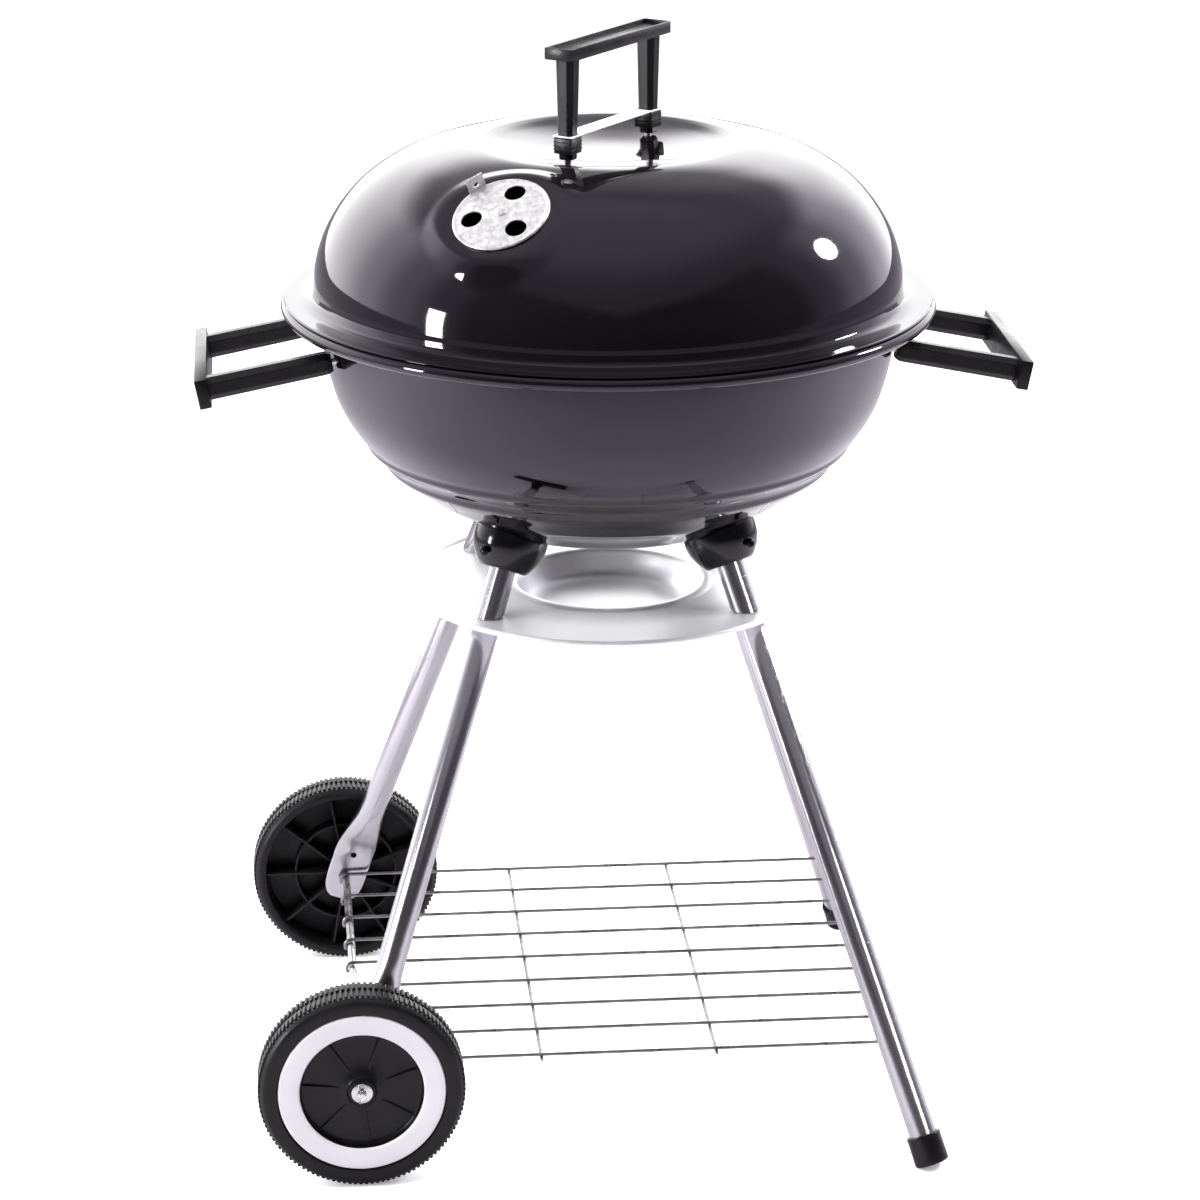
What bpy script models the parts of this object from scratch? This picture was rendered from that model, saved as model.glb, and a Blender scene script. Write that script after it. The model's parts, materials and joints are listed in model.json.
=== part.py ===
"""Kettle charcoal grill: lidded steel kettle on a four-leg stand with two wheels.

Metres, Z up, floor at Z = 0.  The kettle axis is the world Z axis, the wheels
stand on the -X side and the axle runs along Y.
"""
import math

import bmesh
import bpy
from mathutils import Matrix, Vector

# ---------------------------------------------------------------- clearances
GAP = 0.0003
ROUND = 40
MEDIUM = 24
SMALL = 14

# ---------------------------------------------------------------- kettle
SHELL = 0.0015
RIM_R = 0.2350
BEAD_R = 0.0045
BEAD_Z = 0.5905
BEAD_CENTRE_R = RIM_R - BEAD_R
BOWL_OUTER = [
    (0.2085, 0.5850), (0.2070, 0.5700), (0.2022, 0.5450), (0.1967, 0.5256),
    (0.1904, 0.5120), (0.1815, 0.4986), (0.1765, 0.4925), (0.1752, 0.4890),
    (0.1697, 0.4843), (0.1635, 0.4775), (0.1612, 0.4728), (0.1448, 0.4620),
    (0.1308, 0.4520), (0.1150, 0.4435), (0.1000, 0.4345), (0.0960, 0.4325),
]
BOWL_FLOOR_Z = 0.4315
BOWL_FLOOR_STEP_R = 0.0600
BOWL_FLOOR_CENTRE_Z = 0.4300

LID_OUTER = [
    (0.0300, 0.6985), (0.0550, 0.7012), (0.0750, 0.7042), (0.0870, 0.7066),
    (0.0935, 0.7074), (0.1020, 0.7068), (0.1200, 0.7035), (0.1440, 0.6965),
    (0.1620, 0.6872), (0.1790, 0.6745), (0.1930, 0.6585), (0.2030, 0.6415),
    (0.2090, 0.6240), (0.2112, 0.6100), (0.2118, 0.6040), (0.2140, 0.5990),
    (0.2185, 0.5972), (0.2300, 0.5968),
]
LID_CENTRE_Z = 0.6975
LID_EDGE_R = 0.2325
LID_EDGE_RISE = 0.0010
LID_SEAT_Z = BEAD_Z + BEAD_R + GAP

# ---------------------------------------------------------------- dampers
DAMPER_R = 0.0350
DAMPER_T = 0.0010
DAMPER_LIP = 0.0022
DAMPER_HOLES_R = 0.0205
VENT_R = 0.0075
RIVET_R = 0.0022
RIVET_HEAD_R = 0.0045
PAD_R = 0.0385
PAD_RISE = 0.0006
PAD_DEPTH = 0.0052
LID_DAMPER_R = 0.1620
LID_DAMPER_AZ = math.radians(-122.0)
LID_DAMPER_SLOPE = math.radians(32.0)
LID_DAMPER_Z = 0.6872
LID_VENT_START = math.radians(85.0)
LID_TAB_ANGLE = math.radians(143.0)
ASH_VENT_START = math.radians(83.0)
ASH_TAB_ANGLE = math.radians(37.0)
TAB_W = 0.0130
TAB_T = 0.0012
TAB_H = 0.0130

# ---------------------------------------------------------------- lid handle
GRIP_AZ = math.radians(53.0)
GRIP_LEN = 0.1330
GRIP_W = 0.0225
GRIP_H = 0.0085
GRIP_TOP_Z = 0.7830
GRIP_CHANNEL = 0.0030
GRIP_WALL = 0.0022
POST_OFFSET = 0.0540
POST_TOP_W = 0.0146
POST_LOW_W = 0.0114
SLEEVE_W = POST_LOW_W + 0.0030
SLEEVE_H = 0.0115
SLEEVE_LIFT = 0.0042
STRAP_W = SLEEVE_W
STRAP_T = 0.0012
STRAP_LIP = 0.0030
STRAP_OVERHANG = 0.0098
HANDLE_FOOT_Z = 0.7035

# ---------------------------------------------------------------- side handles
SIDE_POST_Y = 0.0570
SIDE_ROOT_Z = 0.5650
SIDE_DROOP = math.radians(11.0)
SIDE_OUT_X = 0.2975
SIDE_BAR_LEN = 0.1460
SIDE_BAR_H = 0.0210
SIDE_BAR_T = 0.0085
SIDE_POST_W = 0.0140
SIDE_POST_H = 0.0165
BOLT_R = 0.0025
BOLT_HEAD_R = 0.0055
BOLT_HEAD_T = 0.0028
BOLT_REACH = 0.0160

# ---------------------------------------------------------------- grates
COOK_Z = 0.5770
COOK_R = 0.1990
COAL_Z = 0.5000
COAL_R = 0.1740
GRATE_WIRE = 0.0018
GRATE_BAR = 0.0014
COOK_BARS = 13
COAL_BARS = 7
BRACKETS = 3
BRACKET_IN_R = 0.1880
BRACKET_OUT_R = 0.2040
BRACKET_W = 0.0120
BRACKET_T = 0.0015
BRACKET_LIP = 0.0070

# ---------------------------------------------------------------- stand
LEG_R = 0.0100
SPIGOT_R = 0.0078
BORE_R = SPIGOT_R + GAP
UPPER_BORE_R = 0.0060
SPIGOT_LEN = 0.0280
LEG_TOP = Vector((0.0789, 0.0641, 0.4200))
LEG_TOP_Z = 0.4240
AXLE_X = -0.1935
AXLE_Z = 0.0736
PLATE_Y = 0.1805
PLATE_T = 0.0040
PLATE_W = 0.0310
FOOT = Vector((0.2158, 0.2197, 0.0))
FOOT_END_Z = 0.0025
CAP_R = 0.0125
CAP_LEN = 0.0220
CAP_FLOOR = 0.0040
SOCKET_PROFILE = [(0.0168, 0.0), (0.0190, 0.0015), (0.0262, 0.0150), (0.0268, 0.0210), (0.0268, 0.0560)]
SOCKET_END_Z = 0.4105
BUTTON_R = 0.0018
BUTTON_DROP = 0.0110
SCREW_R = 0.0016
SCREW_HEAD_R = 0.0034

TRAY_R = 0.1460
TRAY_Z = 0.3790
TRAY_T = 0.0012
TRAY_BEAD = 0.0022
TRAY_SIDES = 36
TRAY_LIP_R = 0.0700
TRAY_FLOOR_R = 0.0520
TRAY_DEPTH = 0.0180

# ---------------------------------------------------------------- running gear
WHEEL_R = AXLE_Z
WHEEL_HALF = 0.0160
WHEEL_Y = 0.2007
AXLE_R = 0.0030
AXLE_HALF = 0.2235
HUB_FACE = 0.0150
HUB_INNER = WHEEL_Y - PLATE_Y - PLATE_T / 2 - GAP
TRIM_IN_R = 0.0441
TRIM_OUT_R = 0.0593
TRIM_SEAT = 0.0132
WHEEL_RIBS = 9
WASHER_R = 0.0075
WASHER_T = 0.0012
PIN_R = 0.0009
PIN_Y = 0.2195
WIRE_R = 0.0013
WIRES = 9
WIRE_HALF_Y = 0.1735
WIRE_Z = AXLE_Z + AXLE_R + WIRE_R + GAP
ROD_X = LEG_TOP.x + (FOOT.x - LEG_TOP.x) * (LEG_TOP.z - AXLE_Z) / LEG_TOP.z
ROD_HALF = 0.1880
CROSS_WIRE_X = 0.0632


# ---------------------------------------------------------------- materials
def make_material(name, color, metallic, roughness):
    mat = bpy.data.materials.new(name)
    mat.use_nodes = True
    shader = mat.node_tree.nodes["Principled BSDF"]
    shader.inputs["Base Color"].default_value = (*color, 1.0)
    shader.inputs["Metallic"].default_value = metallic
    shader.inputs["Roughness"].default_value = roughness
    return mat


PALETTE = {
    "enamel": ((0.010, 0.009, 0.011), 0.0, 0.08),
    "black_plastic": ((0.015, 0.014, 0.015), 0.0, 0.35),
    "gloss_black": ((0.008, 0.008, 0.009), 0.0, 0.12),
    "chrome_tube": ((0.80, 0.80, 0.82), 1.0, 0.12),
    "aluminium": ((0.78, 0.78, 0.78), 1.0, 0.35),
    "tray_steel": ((0.82, 0.82, 0.84), 1.0, 0.18),
    "wire": ((0.55, 0.55, 0.55), 1.0, 0.25),
    "steel": ((0.60, 0.60, 0.60), 1.0, 0.30),
    "tyre": ((0.020, 0.020, 0.021), 0.0, 0.60),
    "trim_white": ((0.82, 0.82, 0.80), 0.0, 0.35),
    "grate_steel": ((0.50, 0.50, 0.50), 1.0, 0.30),
}


# ---------------------------------------------------------------- mesh helpers
def clear_scene():
    for obj in list(bpy.data.objects):
        bpy.data.objects.remove(obj, do_unlink=True)


def finish(name, bm, slot, smooth=True):
    bmesh.ops.recalc_face_normals(bm, faces=bm.faces)
    mesh = bpy.data.meshes.new(name)
    bm.to_mesh(mesh)
    bm.free()
    for poly in mesh.polygons:
        poly.use_smooth = smooth
    obj = bpy.data.objects.new(name, mesh)
    bpy.context.scene.collection.objects.link(obj)
    if slot:
        color, metallic, roughness = PALETTE[slot]
        mesh.materials.append(make_material(name + "_mat", color, metallic, roughness))
    return obj


def aim(obj, origin, direction):
    obj.rotation_mode = "QUATERNION"
    obj.rotation_quaternion = Vector(direction).to_track_quat("Z", "Y")
    obj.location = origin
    return obj


def skin_rings(bm, rings, closed_path):
    count = len(rings)
    last = count if closed_path else count - 1
    for i in range(last):
        a = rings[i]
        b = rings[(i + 1) % count]
        if len(a) == 1 and len(b) == 1:
            continue
        n = max(len(a), len(b))
        for k in range(n):
            j = (k + 1) % n
            if len(a) == 1:
                bm.faces.new((a[0], b[k], b[j]))
            elif len(b) == 1:
                bm.faces.new((a[k], b[0], a[j]))
            else:
                bm.faces.new((a[k], b[k], b[j], a[j]))


def lathe(name, profile, segments, slot):
    """Revolve (radius, height) points about local Z; a path from axis to axis or a closed loop."""
    bm = bmesh.new()
    rings = []
    for radius, height in profile:
        if radius <= 0.0:
            rings.append([bm.verts.new((0.0, 0.0, height))])
            continue
        ring = []
        for k in range(segments):
            angle = 2 * math.pi * k / segments
            ring.append(bm.verts.new((radius * math.cos(angle), radius * math.sin(angle), height)))
        rings.append(ring)
    skin_rings(bm, rings, closed_path=profile[0][0] > 0.0)
    return finish(name, bm, slot)


def rod(name, start, end, radius, segments, slot):
    start = Vector(start)
    end = Vector(end)
    length = (end - start).length
    profile = [(0.0, 0.0), (radius, 0.0), (radius, length), (0.0, length)]
    return aim(lathe(name, profile, segments, slot), start, end - start)


def box(name, size, slot):
    bm = bmesh.new()
    bmesh.ops.create_cube(bm, size=1.0)
    bmesh.ops.scale(bm, vec=Vector(size), verts=bm.verts)
    return finish(name, bm, slot, smooth=False)


def loft(name, sections, slot, smooth=True):
    """Join closed sections of equal point count and cap both ends."""
    bm = bmesh.new()
    rings = [[bm.verts.new(point) for point in section] for section in sections]
    skin_rings(bm, rings, closed_path=False)
    bm.faces.new(rings[0])
    bm.faces.new(rings[-1])
    return finish(name, bm, slot, smooth)


def wire_path(name, points, radius, sides, slot):
    """Round wire along a polyline."""
    points = [Vector(point) for point in points]
    sections = []
    for i, point in enumerate(points):
        before = points[max(i - 1, 0)]
        after = points[min(i + 1, len(points) - 1)]
        frame = (after - before).to_track_quat("Z", "Y")
        section = []
        for k in range(sides):
            angle = 2 * math.pi * (k + 0.5) / sides
            local = Vector((radius * math.cos(angle), radius * math.sin(angle), 0.0))
            section.append(point + frame @ local)
        sections.append(section)
    return loft(name, sections, slot)


def combine(obj, tool, operation):
    """Apply one exact boolean and drop the tool."""
    modifier = obj.modifiers.new("cut", "BOOLEAN")
    modifier.operation = operation
    modifier.solver = "EXACT"
    modifier.object = tool
    tool.hide_render = True
    tool.display_type = "WIRE"
    bpy.context.view_layer.update()
    graph = bpy.context.evaluated_depsgraph_get()
    mesh = bpy.data.meshes.new_from_object(obj.evaluated_get(graph))
    obj.modifiers.clear()
    mesh.name = obj.name
    mesh.materials.clear()
    for mat in obj.data.materials:
        mesh.materials.append(mat)
    for poly in mesh.polygons:
        poly.material_index = 0
    obj.data = mesh
    bpy.data.objects.remove(tool, do_unlink=True)
    return obj


def cut(obj, tool):
    return combine(obj, tool, "DIFFERENCE")


def join(obj, tool):
    return combine(obj, tool, "UNION")


def cut_below(obj, height):
    return cut(obj, half_space(height, -1.0))


def cut_above(obj, height):
    return cut(obj, half_space(height, 1.0))


def half_space(height, side):
    size = 2.0
    block = box("half_space", (size, size, size), None)
    block.location = (0.0, 0.0, height + side * size / 2)
    return block


def offset_path(path, distance):
    """Shift a profile sideways, to its left when walking along it."""
    moved = []
    for i, (r, z) in enumerate(path):
        r0, z0 = path[max(i - 1, 0)]
        r1, z1 = path[min(i + 1, len(path) - 1)]
        length = math.hypot(r1 - r0, z1 - z0)
        moved.append((r - distance * (z1 - z0) / length, z + distance * (r1 - r0) / length))
    return moved


def thin_out(path):
    """Every second point of a smooth inner path, keeping two points at each end."""
    return path[:2] + path[2:-3:2] + path[-3:]


# ---------------------------------------------------------------- kettle
def bead_points(start_deg, end_deg, steps):
    points = []
    for k in range(steps + 1):
        angle = math.radians(start_deg + (end_deg - start_deg) * k / steps)
        points.append((BEAD_CENTRE_R + BEAD_R * math.cos(angle), BEAD_Z + BEAD_R * math.sin(angle)))
    return points


def bowl_floor():
    return [(BOWL_FLOOR_STEP_R, BOWL_FLOOR_Z), (BOWL_FLOOR_STEP_R - 0.004, BOWL_FLOOR_CENTRE_Z),
            (0.0, BOWL_FLOOR_CENTRE_Z)]


def build_bowl():
    outer = BOWL_OUTER + bowl_floor()
    inner = offset_path(outer, -SHELL)
    inner = [(max(r, 0.0), z) for r, z in inner]
    inner[-1] = (0.0, BOWL_FLOOR_CENTRE_Z + SHELL)
    inner = thin_out(inner)
    flange_top = [(BOWL_OUTER[0][0] + 0.0005, BEAD_Z)]
    path = list(reversed(inner)) + flange_top + bead_points(165.0, -130.0, 9)
    path += [(BOWL_OUTER[0][0] + 0.0030, BEAD_Z - SHELL)]
    path += outer
    bowl = lathe("bowl", path, ROUND, "enamel")
    for x, y in vent_centres(ASH_VENT_START):
        cut(bowl, rod("vent", (x, y, 0.42), (x, y, 0.44), VENT_R, SMALL, None))
    cut(bowl, rod("rivet_hole", (0, 0, 0.42), (0, 0, 0.44), RIVET_R + GAP, SMALL, None))
    for side in (-1, 1):
        for end in (-1, 1):
            tip, direction = side_bolt_line(side, end)
            cut(bowl, rod("bolt_hole", tip, tip + direction * 0.05, BOLT_R + GAP, SMALL, None))
    return bowl


def vent_centres(start):
    centres = []
    for k in range(3):
        angle = start + k * 2 * math.pi / 3
        centres.append((DAMPER_HOLES_R * math.cos(angle), DAMPER_HOLES_R * math.sin(angle)))
    return centres


def damper_frame():
    normal = Vector((math.cos(LID_DAMPER_AZ) * math.sin(LID_DAMPER_SLOPE),
                     math.sin(LID_DAMPER_AZ) * math.sin(LID_DAMPER_SLOPE),
                     math.cos(LID_DAMPER_SLOPE)))
    tangent = Vector((-math.sin(LID_DAMPER_AZ), math.cos(LID_DAMPER_AZ), 0.0))
    centre = Vector((LID_DAMPER_R * math.cos(LID_DAMPER_AZ),
                     LID_DAMPER_R * math.sin(LID_DAMPER_AZ), LID_DAMPER_Z))
    frame = Matrix((tangent, normal.cross(tangent), normal)).transposed().to_4x4()
    frame.translation = centre
    return frame


def seat(obj, frame, offset):
    """Place an object in a frame, shifted by a local offset."""
    obj.rotation_mode = "QUATERNION"
    obj.rotation_quaternion = frame.to_quaternion()
    obj.location = frame @ Vector(offset)
    return obj


def build_lid():
    outer = [(0.0, LID_CENTRE_Z)] + LID_OUTER
    inner = offset_path(outer, -SHELL)
    inner[0] = (0.0, LID_CENTRE_Z - SHELL)
    inner[-1] = (inner[-1][0], LID_SEAT_Z)
    inner[-2] = (inner[-2][0], LID_SEAT_Z)
    inner = thin_out(inner)
    brim_z = LID_OUTER[-1][1]
    edge = [(LID_EDGE_R - 0.0008, brim_z + LID_EDGE_RISE * 0.4), (LID_EDGE_R, brim_z - 0.0004),
            (LID_EDGE_R - 0.0006, LID_SEAT_Z)]
    path = outer + edge + list(reversed(inner))
    lid = lathe("lid", path, ROUND, "enamel")
    frame = damper_frame()
    pad_profile = [(0.0, -PAD_DEPTH), (PAD_R, -PAD_DEPTH), (PAD_R, PAD_RISE - 0.0004),
                   (PAD_R - 0.0006, PAD_RISE), (0.0, PAD_RISE)]
    join(lid, seat(lathe("pad", pad_profile, MEDIUM, None), frame, (0, 0, 0)))
    for x, y in vent_centres(LID_VENT_START):
        drill = rod("vent", (0, 0, -0.02), (0, 0, 0.02), VENT_R, SMALL, None)
        cut(lid, seat(drill, frame, (x, y, -0.02)))
    drill = rod("rivet_hole", (0, 0, -0.02), (0, 0, 0.02), RIVET_R + GAP, SMALL, None)
    cut(lid, seat(drill, frame, (0, 0, -0.02)))
    for end in (-1, 1):
        x, y = grip_point(end * POST_OFFSET)
        cut(lid, rod("bolt_hole", (x, y, 0.69), (x, y, 0.72), BOLT_R + GAP, SMALL, None))
    return lid


def build_damper(name, tab_angle, vent_start):
    """Dished disc with three vents and an upright tab; local Z is its turning axis."""
    profile = [
        (RIVET_R + GAP, 0.0), (DAMPER_R - 0.0006, 0.0), (DAMPER_R, 0.0006),
        (DAMPER_R, DAMPER_LIP - 0.0004), (DAMPER_R - 0.0006, DAMPER_LIP), (DAMPER_R - 0.0016, DAMPER_LIP),
        (DAMPER_R - 0.0030, DAMPER_T + 0.0002), (DAMPER_R - 0.0042, DAMPER_T), (RIVET_R + GAP, DAMPER_T),
    ]
    damper = lathe(name, profile, MEDIUM, "aluminium")
    for x, y in vent_centres(vent_start):
        cut(damper, rod("vent", (x, y, -0.01), (x, y, 0.01), VENT_R, SMALL, None))
    tab = box("tab", (TAB_T, TAB_W, TAB_H), None)
    reach = DAMPER_R - TAB_T * 0.4
    tab.location = (reach * math.cos(tab_angle), reach * math.sin(tab_angle), TAB_H / 2 + 0.0004)
    tab.rotation_euler = (0.0, 0.0, tab_angle)
    join(damper, tab)
    return damper


def rivet(name, depth, slot):
    """Domed head above Z = 0, shank down to -depth."""
    profile = [(0.0, 0.0020), (RIVET_HEAD_R * 0.6, 0.0016), (RIVET_HEAD_R, 0.0004), (RIVET_HEAD_R, 0.0),
               (RIVET_R, 0.0), (RIVET_R, -depth), (0.0, -depth)]
    return lathe(name, profile, SMALL, slot)


def build_dampers():
    frame = damper_frame()
    damper = build_damper("lid_damper", LID_TAB_ANGLE, LID_VENT_START)
    seat(damper, frame, (0, 0, PAD_RISE + GAP))
    head = PAD_RISE + GAP + DAMPER_T + GAP
    seat(rivet("lid_damper_rivet", head + PAD_DEPTH, "aluminium"), frame, (0, 0, head))
    flip = Matrix.Rotation(math.pi, 4, "X")
    flip.translation = Vector((0.0, 0.0, BOWL_FLOOR_CENTRE_Z))
    ash = build_damper("ash_damper", ASH_TAB_ANGLE, -ASH_VENT_START)
    seat(ash, flip, (0, 0, GAP))
    head = GAP + DAMPER_T + GAP
    seat(rivet("ash_damper_rivet", head + SHELL + 0.001, "aluminium"), flip, (0, 0, head))


def bolt(name, start, direction, shank, slot):
    """Head at start, shank running along the direction."""
    profile = [(0.0, -BOLT_HEAD_T), (BOLT_HEAD_R * 0.7, -BOLT_HEAD_T), (BOLT_HEAD_R, -BOLT_HEAD_T * 0.5),
               (BOLT_HEAD_R, 0.0), (BOLT_R, 0.0), (BOLT_R, shank), (0.0, shank)]
    return aim(lathe(name, profile, SMALL, slot), start, direction)


# ---------------------------------------------------------------- lid handle
def grip_point(distance):
    return distance * math.cos(GRIP_AZ), distance * math.sin(GRIP_AZ)


def turned(obj, x, y, z, angle):
    obj.location = (x, y, z)
    obj.rotation_euler = (0.0, 0.0, angle)
    return obj


def tapered_post(name, width_low, width_top, low_z, top_z):
    sections = []
    for width, z in ((width_low, low_z), (width_top, top_z)):
        half = width / 2
        chamfer = width * 0.22
        corner = [(half, half - chamfer), (half - chamfer, half)]
        section = []
        for quarter in range(4):
            turn = Matrix.Rotation(quarter * math.pi / 2, 3, "Z")
            section += [turn @ Vector((x, y, z)) for x, y in corner]
        sections.append(section)
    return loft(name, sections, None, smooth=False)


def post_width(height):
    """Width of a lid handle post at a height above its foot."""
    share = height / (GRIP_TOP_Z - GRIP_H - HANDLE_FOOT_Z)
    return POST_LOW_W + (POST_TOP_W - POST_LOW_W) * share


def build_lid_handle():
    handle = box("lid_handle", (GRIP_LEN, GRIP_W, GRIP_H), "black_plastic")
    turned(handle, 0.0, 0.0, GRIP_TOP_Z - GRIP_H / 2, GRIP_AZ)
    channel = box("channel", (GRIP_LEN - 2 * GRIP_WALL, GRIP_W - 2 * GRIP_WALL, GRIP_CHANNEL * 2), None)
    cut(handle, turned(channel, 0.0, 0.0, GRIP_TOP_Z, GRIP_AZ))
    for end in (-1, 1):
        x, y = grip_point(end * POST_OFFSET)
        post = tapered_post("post", POST_LOW_W, POST_TOP_W, HANDLE_FOOT_Z, GRIP_TOP_Z - GRIP_H + 0.002)
        join(handle, turned(post, x, y, 0.0, GRIP_AZ))
        bore_top = HANDLE_FOOT_Z + BOLT_REACH + GAP
        cut(handle, rod("bore", (x, y, HANDLE_FOOT_Z - 0.005), (x, y, bore_top), BOLT_R + GAP, SMALL, None))
    return handle


def build_lid_handle_fittings():
    for label, end in (("front", -1), ("rear", 1)):
        x, y = grip_point(end * POST_OFFSET)
        sleeve = box("lid_handle_sleeve_" + label, (SLEEVE_W, SLEEVE_W, SLEEVE_H), "black_plastic")
        middle = HANDLE_FOOT_Z + SLEEVE_LIFT + SLEEVE_H / 2
        turned(sleeve, x, y, middle, GRIP_AZ)
        width = post_width(SLEEVE_LIFT + SLEEVE_H) + 2 * GAP
        hole = box("hole", (width, width, SLEEVE_H * 2), None)
        cut(sleeve, turned(hole, x, y, middle, GRIP_AZ))
        under = lid_inner_height(math.hypot(x, y)) - 0.0008
        reach = HANDLE_FOOT_Z + BOLT_REACH - under
        bolt("lid_handle_bolt_" + label, (x, y, under), (0, 0, 1), reach, "steel")


def build_lid_handle_strap():
    """Sheet strap across the two sleeves, with a square hole for each post and upturned ends."""
    half = POST_OFFSET + STRAP_OVERHANG
    lift = SLEEVE_LIFT + SLEEVE_H + GAP
    strap = box("lid_handle_strap", (2 * half, STRAP_W, STRAP_T), "tray_steel")
    turned(strap, 0.0, 0.0, HANDLE_FOOT_Z + lift + STRAP_T / 2, GRIP_AZ)
    width = post_width(lift + STRAP_T) + 2 * GAP
    for end in (-1, 1):
        x, y = grip_point(end * POST_OFFSET)
        hole = box("hole", (width, width, STRAP_T * 3), None)
        cut(strap, turned(hole, x, y, HANDLE_FOOT_Z + lift + STRAP_T / 2, GRIP_AZ))
        x, y = grip_point(end * (half - STRAP_T * 0.6))
        lip = box("lip", (STRAP_T, STRAP_W - 0.0006, STRAP_LIP), None)
        join(strap, turned(lip, x, y, HANDLE_FOOT_Z + lift + STRAP_LIP / 2 + 0.0003, GRIP_AZ))
    return strap


def lid_inner_height(radius):
    path = [(0.0, LID_CENTRE_Z)] + LID_OUTER
    for (r0, z0), (r1, z1) in zip(path, path[1:]):
        if r0 <= radius <= r1:
            return z0 + (z1 - z0) * (radius - r0) / (r1 - r0) - SHELL
    return LID_CENTRE_Z - SHELL


# ---------------------------------------------------------------- side handles
def wall_radius(height):
    for (r0, z0), (r1, z1) in zip(BOWL_OUTER, BOWL_OUTER[1:]):
        if z1 <= height <= z0:
            return r1 + (r0 - r1) * (height - z1) / (z0 - z1)
    return BOWL_OUTER[0][0]


def side_frame(side, end):
    """Root point on the bowl wall and the outward post direction."""
    radius = wall_radius(SIDE_ROOT_Z)
    root_x = math.sqrt(radius ** 2 - SIDE_POST_Y ** 2)
    root = Vector((side * root_x, end * SIDE_POST_Y, SIDE_ROOT_Z))
    direction = Vector((side * math.cos(SIDE_DROOP), 0.0, -math.sin(SIDE_DROOP)))
    return root, direction


def side_bolt_line(side, end):
    root, direction = side_frame(side, end)
    return root - direction * 0.0200, direction


def build_side_handle(name, side):
    direction = side_frame(side, 1)[1]
    frame = Matrix.Rotation(SIDE_DROOP * side, 4, "Y")
    half_reach = SIDE_BAR_T / 2 * math.cos(SIDE_DROOP) + SIDE_BAR_H / 2 * math.sin(SIDE_DROOP)
    bar_centre_x = SIDE_OUT_X - half_reach
    root = side_frame(side, 1)[0]
    run = (bar_centre_x - abs(root.x)) / math.cos(SIDE_DROOP)
    bar_z = SIDE_ROOT_Z - run * math.sin(SIDE_DROOP)
    handle = box(name, (SIDE_BAR_T, SIDE_BAR_LEN, SIDE_BAR_H), "black_plastic")
    handle.matrix_world = Matrix.Translation((side * bar_centre_x, 0.0, bar_z)) @ frame
    bpy.context.view_layer.update()
    for end in (-1, 1):
        start, direction = side_frame(side, end)
        post = tapered_post("post", SIDE_POST_H, SIDE_POST_W, -0.030, run)
        aim(post, start, direction)
        join(handle, post)
    envelope = bowl_envelope()
    cut(handle, envelope)
    for end in (-1, 1):
        start, direction = side_frame(side, end)
        begin = start - direction * 0.02
        finish_at = start + direction * (BOLT_REACH + GAP)
        cut(handle, rod("bore", begin, finish_at, BOLT_R + GAP, SMALL, None))
    return handle


def bowl_envelope():
    """Solid the size of the bowl's outside plus the clearance."""
    outer = offset_path(BOWL_OUTER, GAP)
    floor = BOWL_FLOOR_CENTRE_Z - GAP
    top = [(0.0, 0.62), (outer[0][0], 0.62)]
    path = top + outer + [(BOWL_OUTER[-1][0], BOWL_FLOOR_Z - GAP), (BOWL_FLOOR_STEP_R, floor), (0.0, floor)]
    return lathe("envelope", path, ROUND, None)


def build_side_bolts():
    for label, side in (("left", -1), ("right", 1)):
        for mark, end in (("front", -1), ("rear", 1)):
            root, direction = side_frame(side, end)
            head = root - direction * (SHELL + 0.0040)
            shank = (root - head).length + BOLT_REACH
            bolt("side_bolt_" + label + "_" + mark, head, direction, shank, "steel")


# ---------------------------------------------------------------- grates
def torus(name, major, minor, height, segments, sides, slot):
    profile = []
    for k in range(sides):
        angle = 2 * math.pi * (k + 0.5) / sides
        profile.append((major + minor * math.cos(angle), height + minor * math.sin(angle)))
    return lathe(name, profile, segments, slot)


def build_grate(name, radius, height, bars, along_y):
    grate = torus(name, radius - GRATE_WIRE, GRATE_WIRE, height, 32, 5, "grate_steel")
    reach = radius - GRATE_WIRE
    for k in range(bars):
        offset = reach * (2 * (k + 1) / (bars + 1) - 1)
        half = math.sqrt(reach ** 2 - offset ** 2)
        ends = ((offset, -half, height), (offset, half, height))
        if not along_y:
            ends = ((-half, offset, height), (half, offset, height))
        join(grate, rod("bar", ends[0], ends[1], GRATE_BAR, 6, None))
    tie_half = reach
    tie = ((-tie_half, 0.0, height), (tie_half, 0.0, height))
    if not along_y:
        tie = ((0.0, -tie_half, height), (0.0, tie_half, height))
    join(grate, rod("tie", tie[0], tie[1], GRATE_BAR, 6, None))
    return grate


def build_brackets():
    top = COOK_Z - GRATE_WIRE - GAP
    length = BRACKET_OUT_R - BRACKET_IN_R
    for k in range(BRACKETS):
        angle = math.radians(90.0) + k * 2 * math.pi / BRACKETS
        middle = (BRACKET_OUT_R + BRACKET_IN_R) / 2
        bracket = box("grate_bracket_" + str(k + 1), (length, BRACKET_W, BRACKET_T), "steel")
        turned(bracket, middle * math.cos(angle), middle * math.sin(angle), top - BRACKET_T / 2, angle)
        web = box("web", (BRACKET_T, BRACKET_W, BRACKET_LIP), None)
        back = BRACKET_OUT_R - BRACKET_T / 2 - 0.0010
        web_z = top - BRACKET_T / 2 - BRACKET_LIP / 2
        turned(web, back * math.cos(angle), back * math.sin(angle), web_z, angle)
        join(bracket, web)


# ---------------------------------------------------------------- legs
def leg_axis(side, end):
    """Upper reference point and lower end of one leg's centre line."""
    top = Vector((side * LEG_TOP.x, end * LEG_TOP.y, LEG_TOP.z))
    if side < 0:
        return top, Vector((AXLE_X, end * PLATE_Y, AXLE_Z))
    return top, Vector((FOOT.x, end * FOOT.y, FOOT.z))


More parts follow.
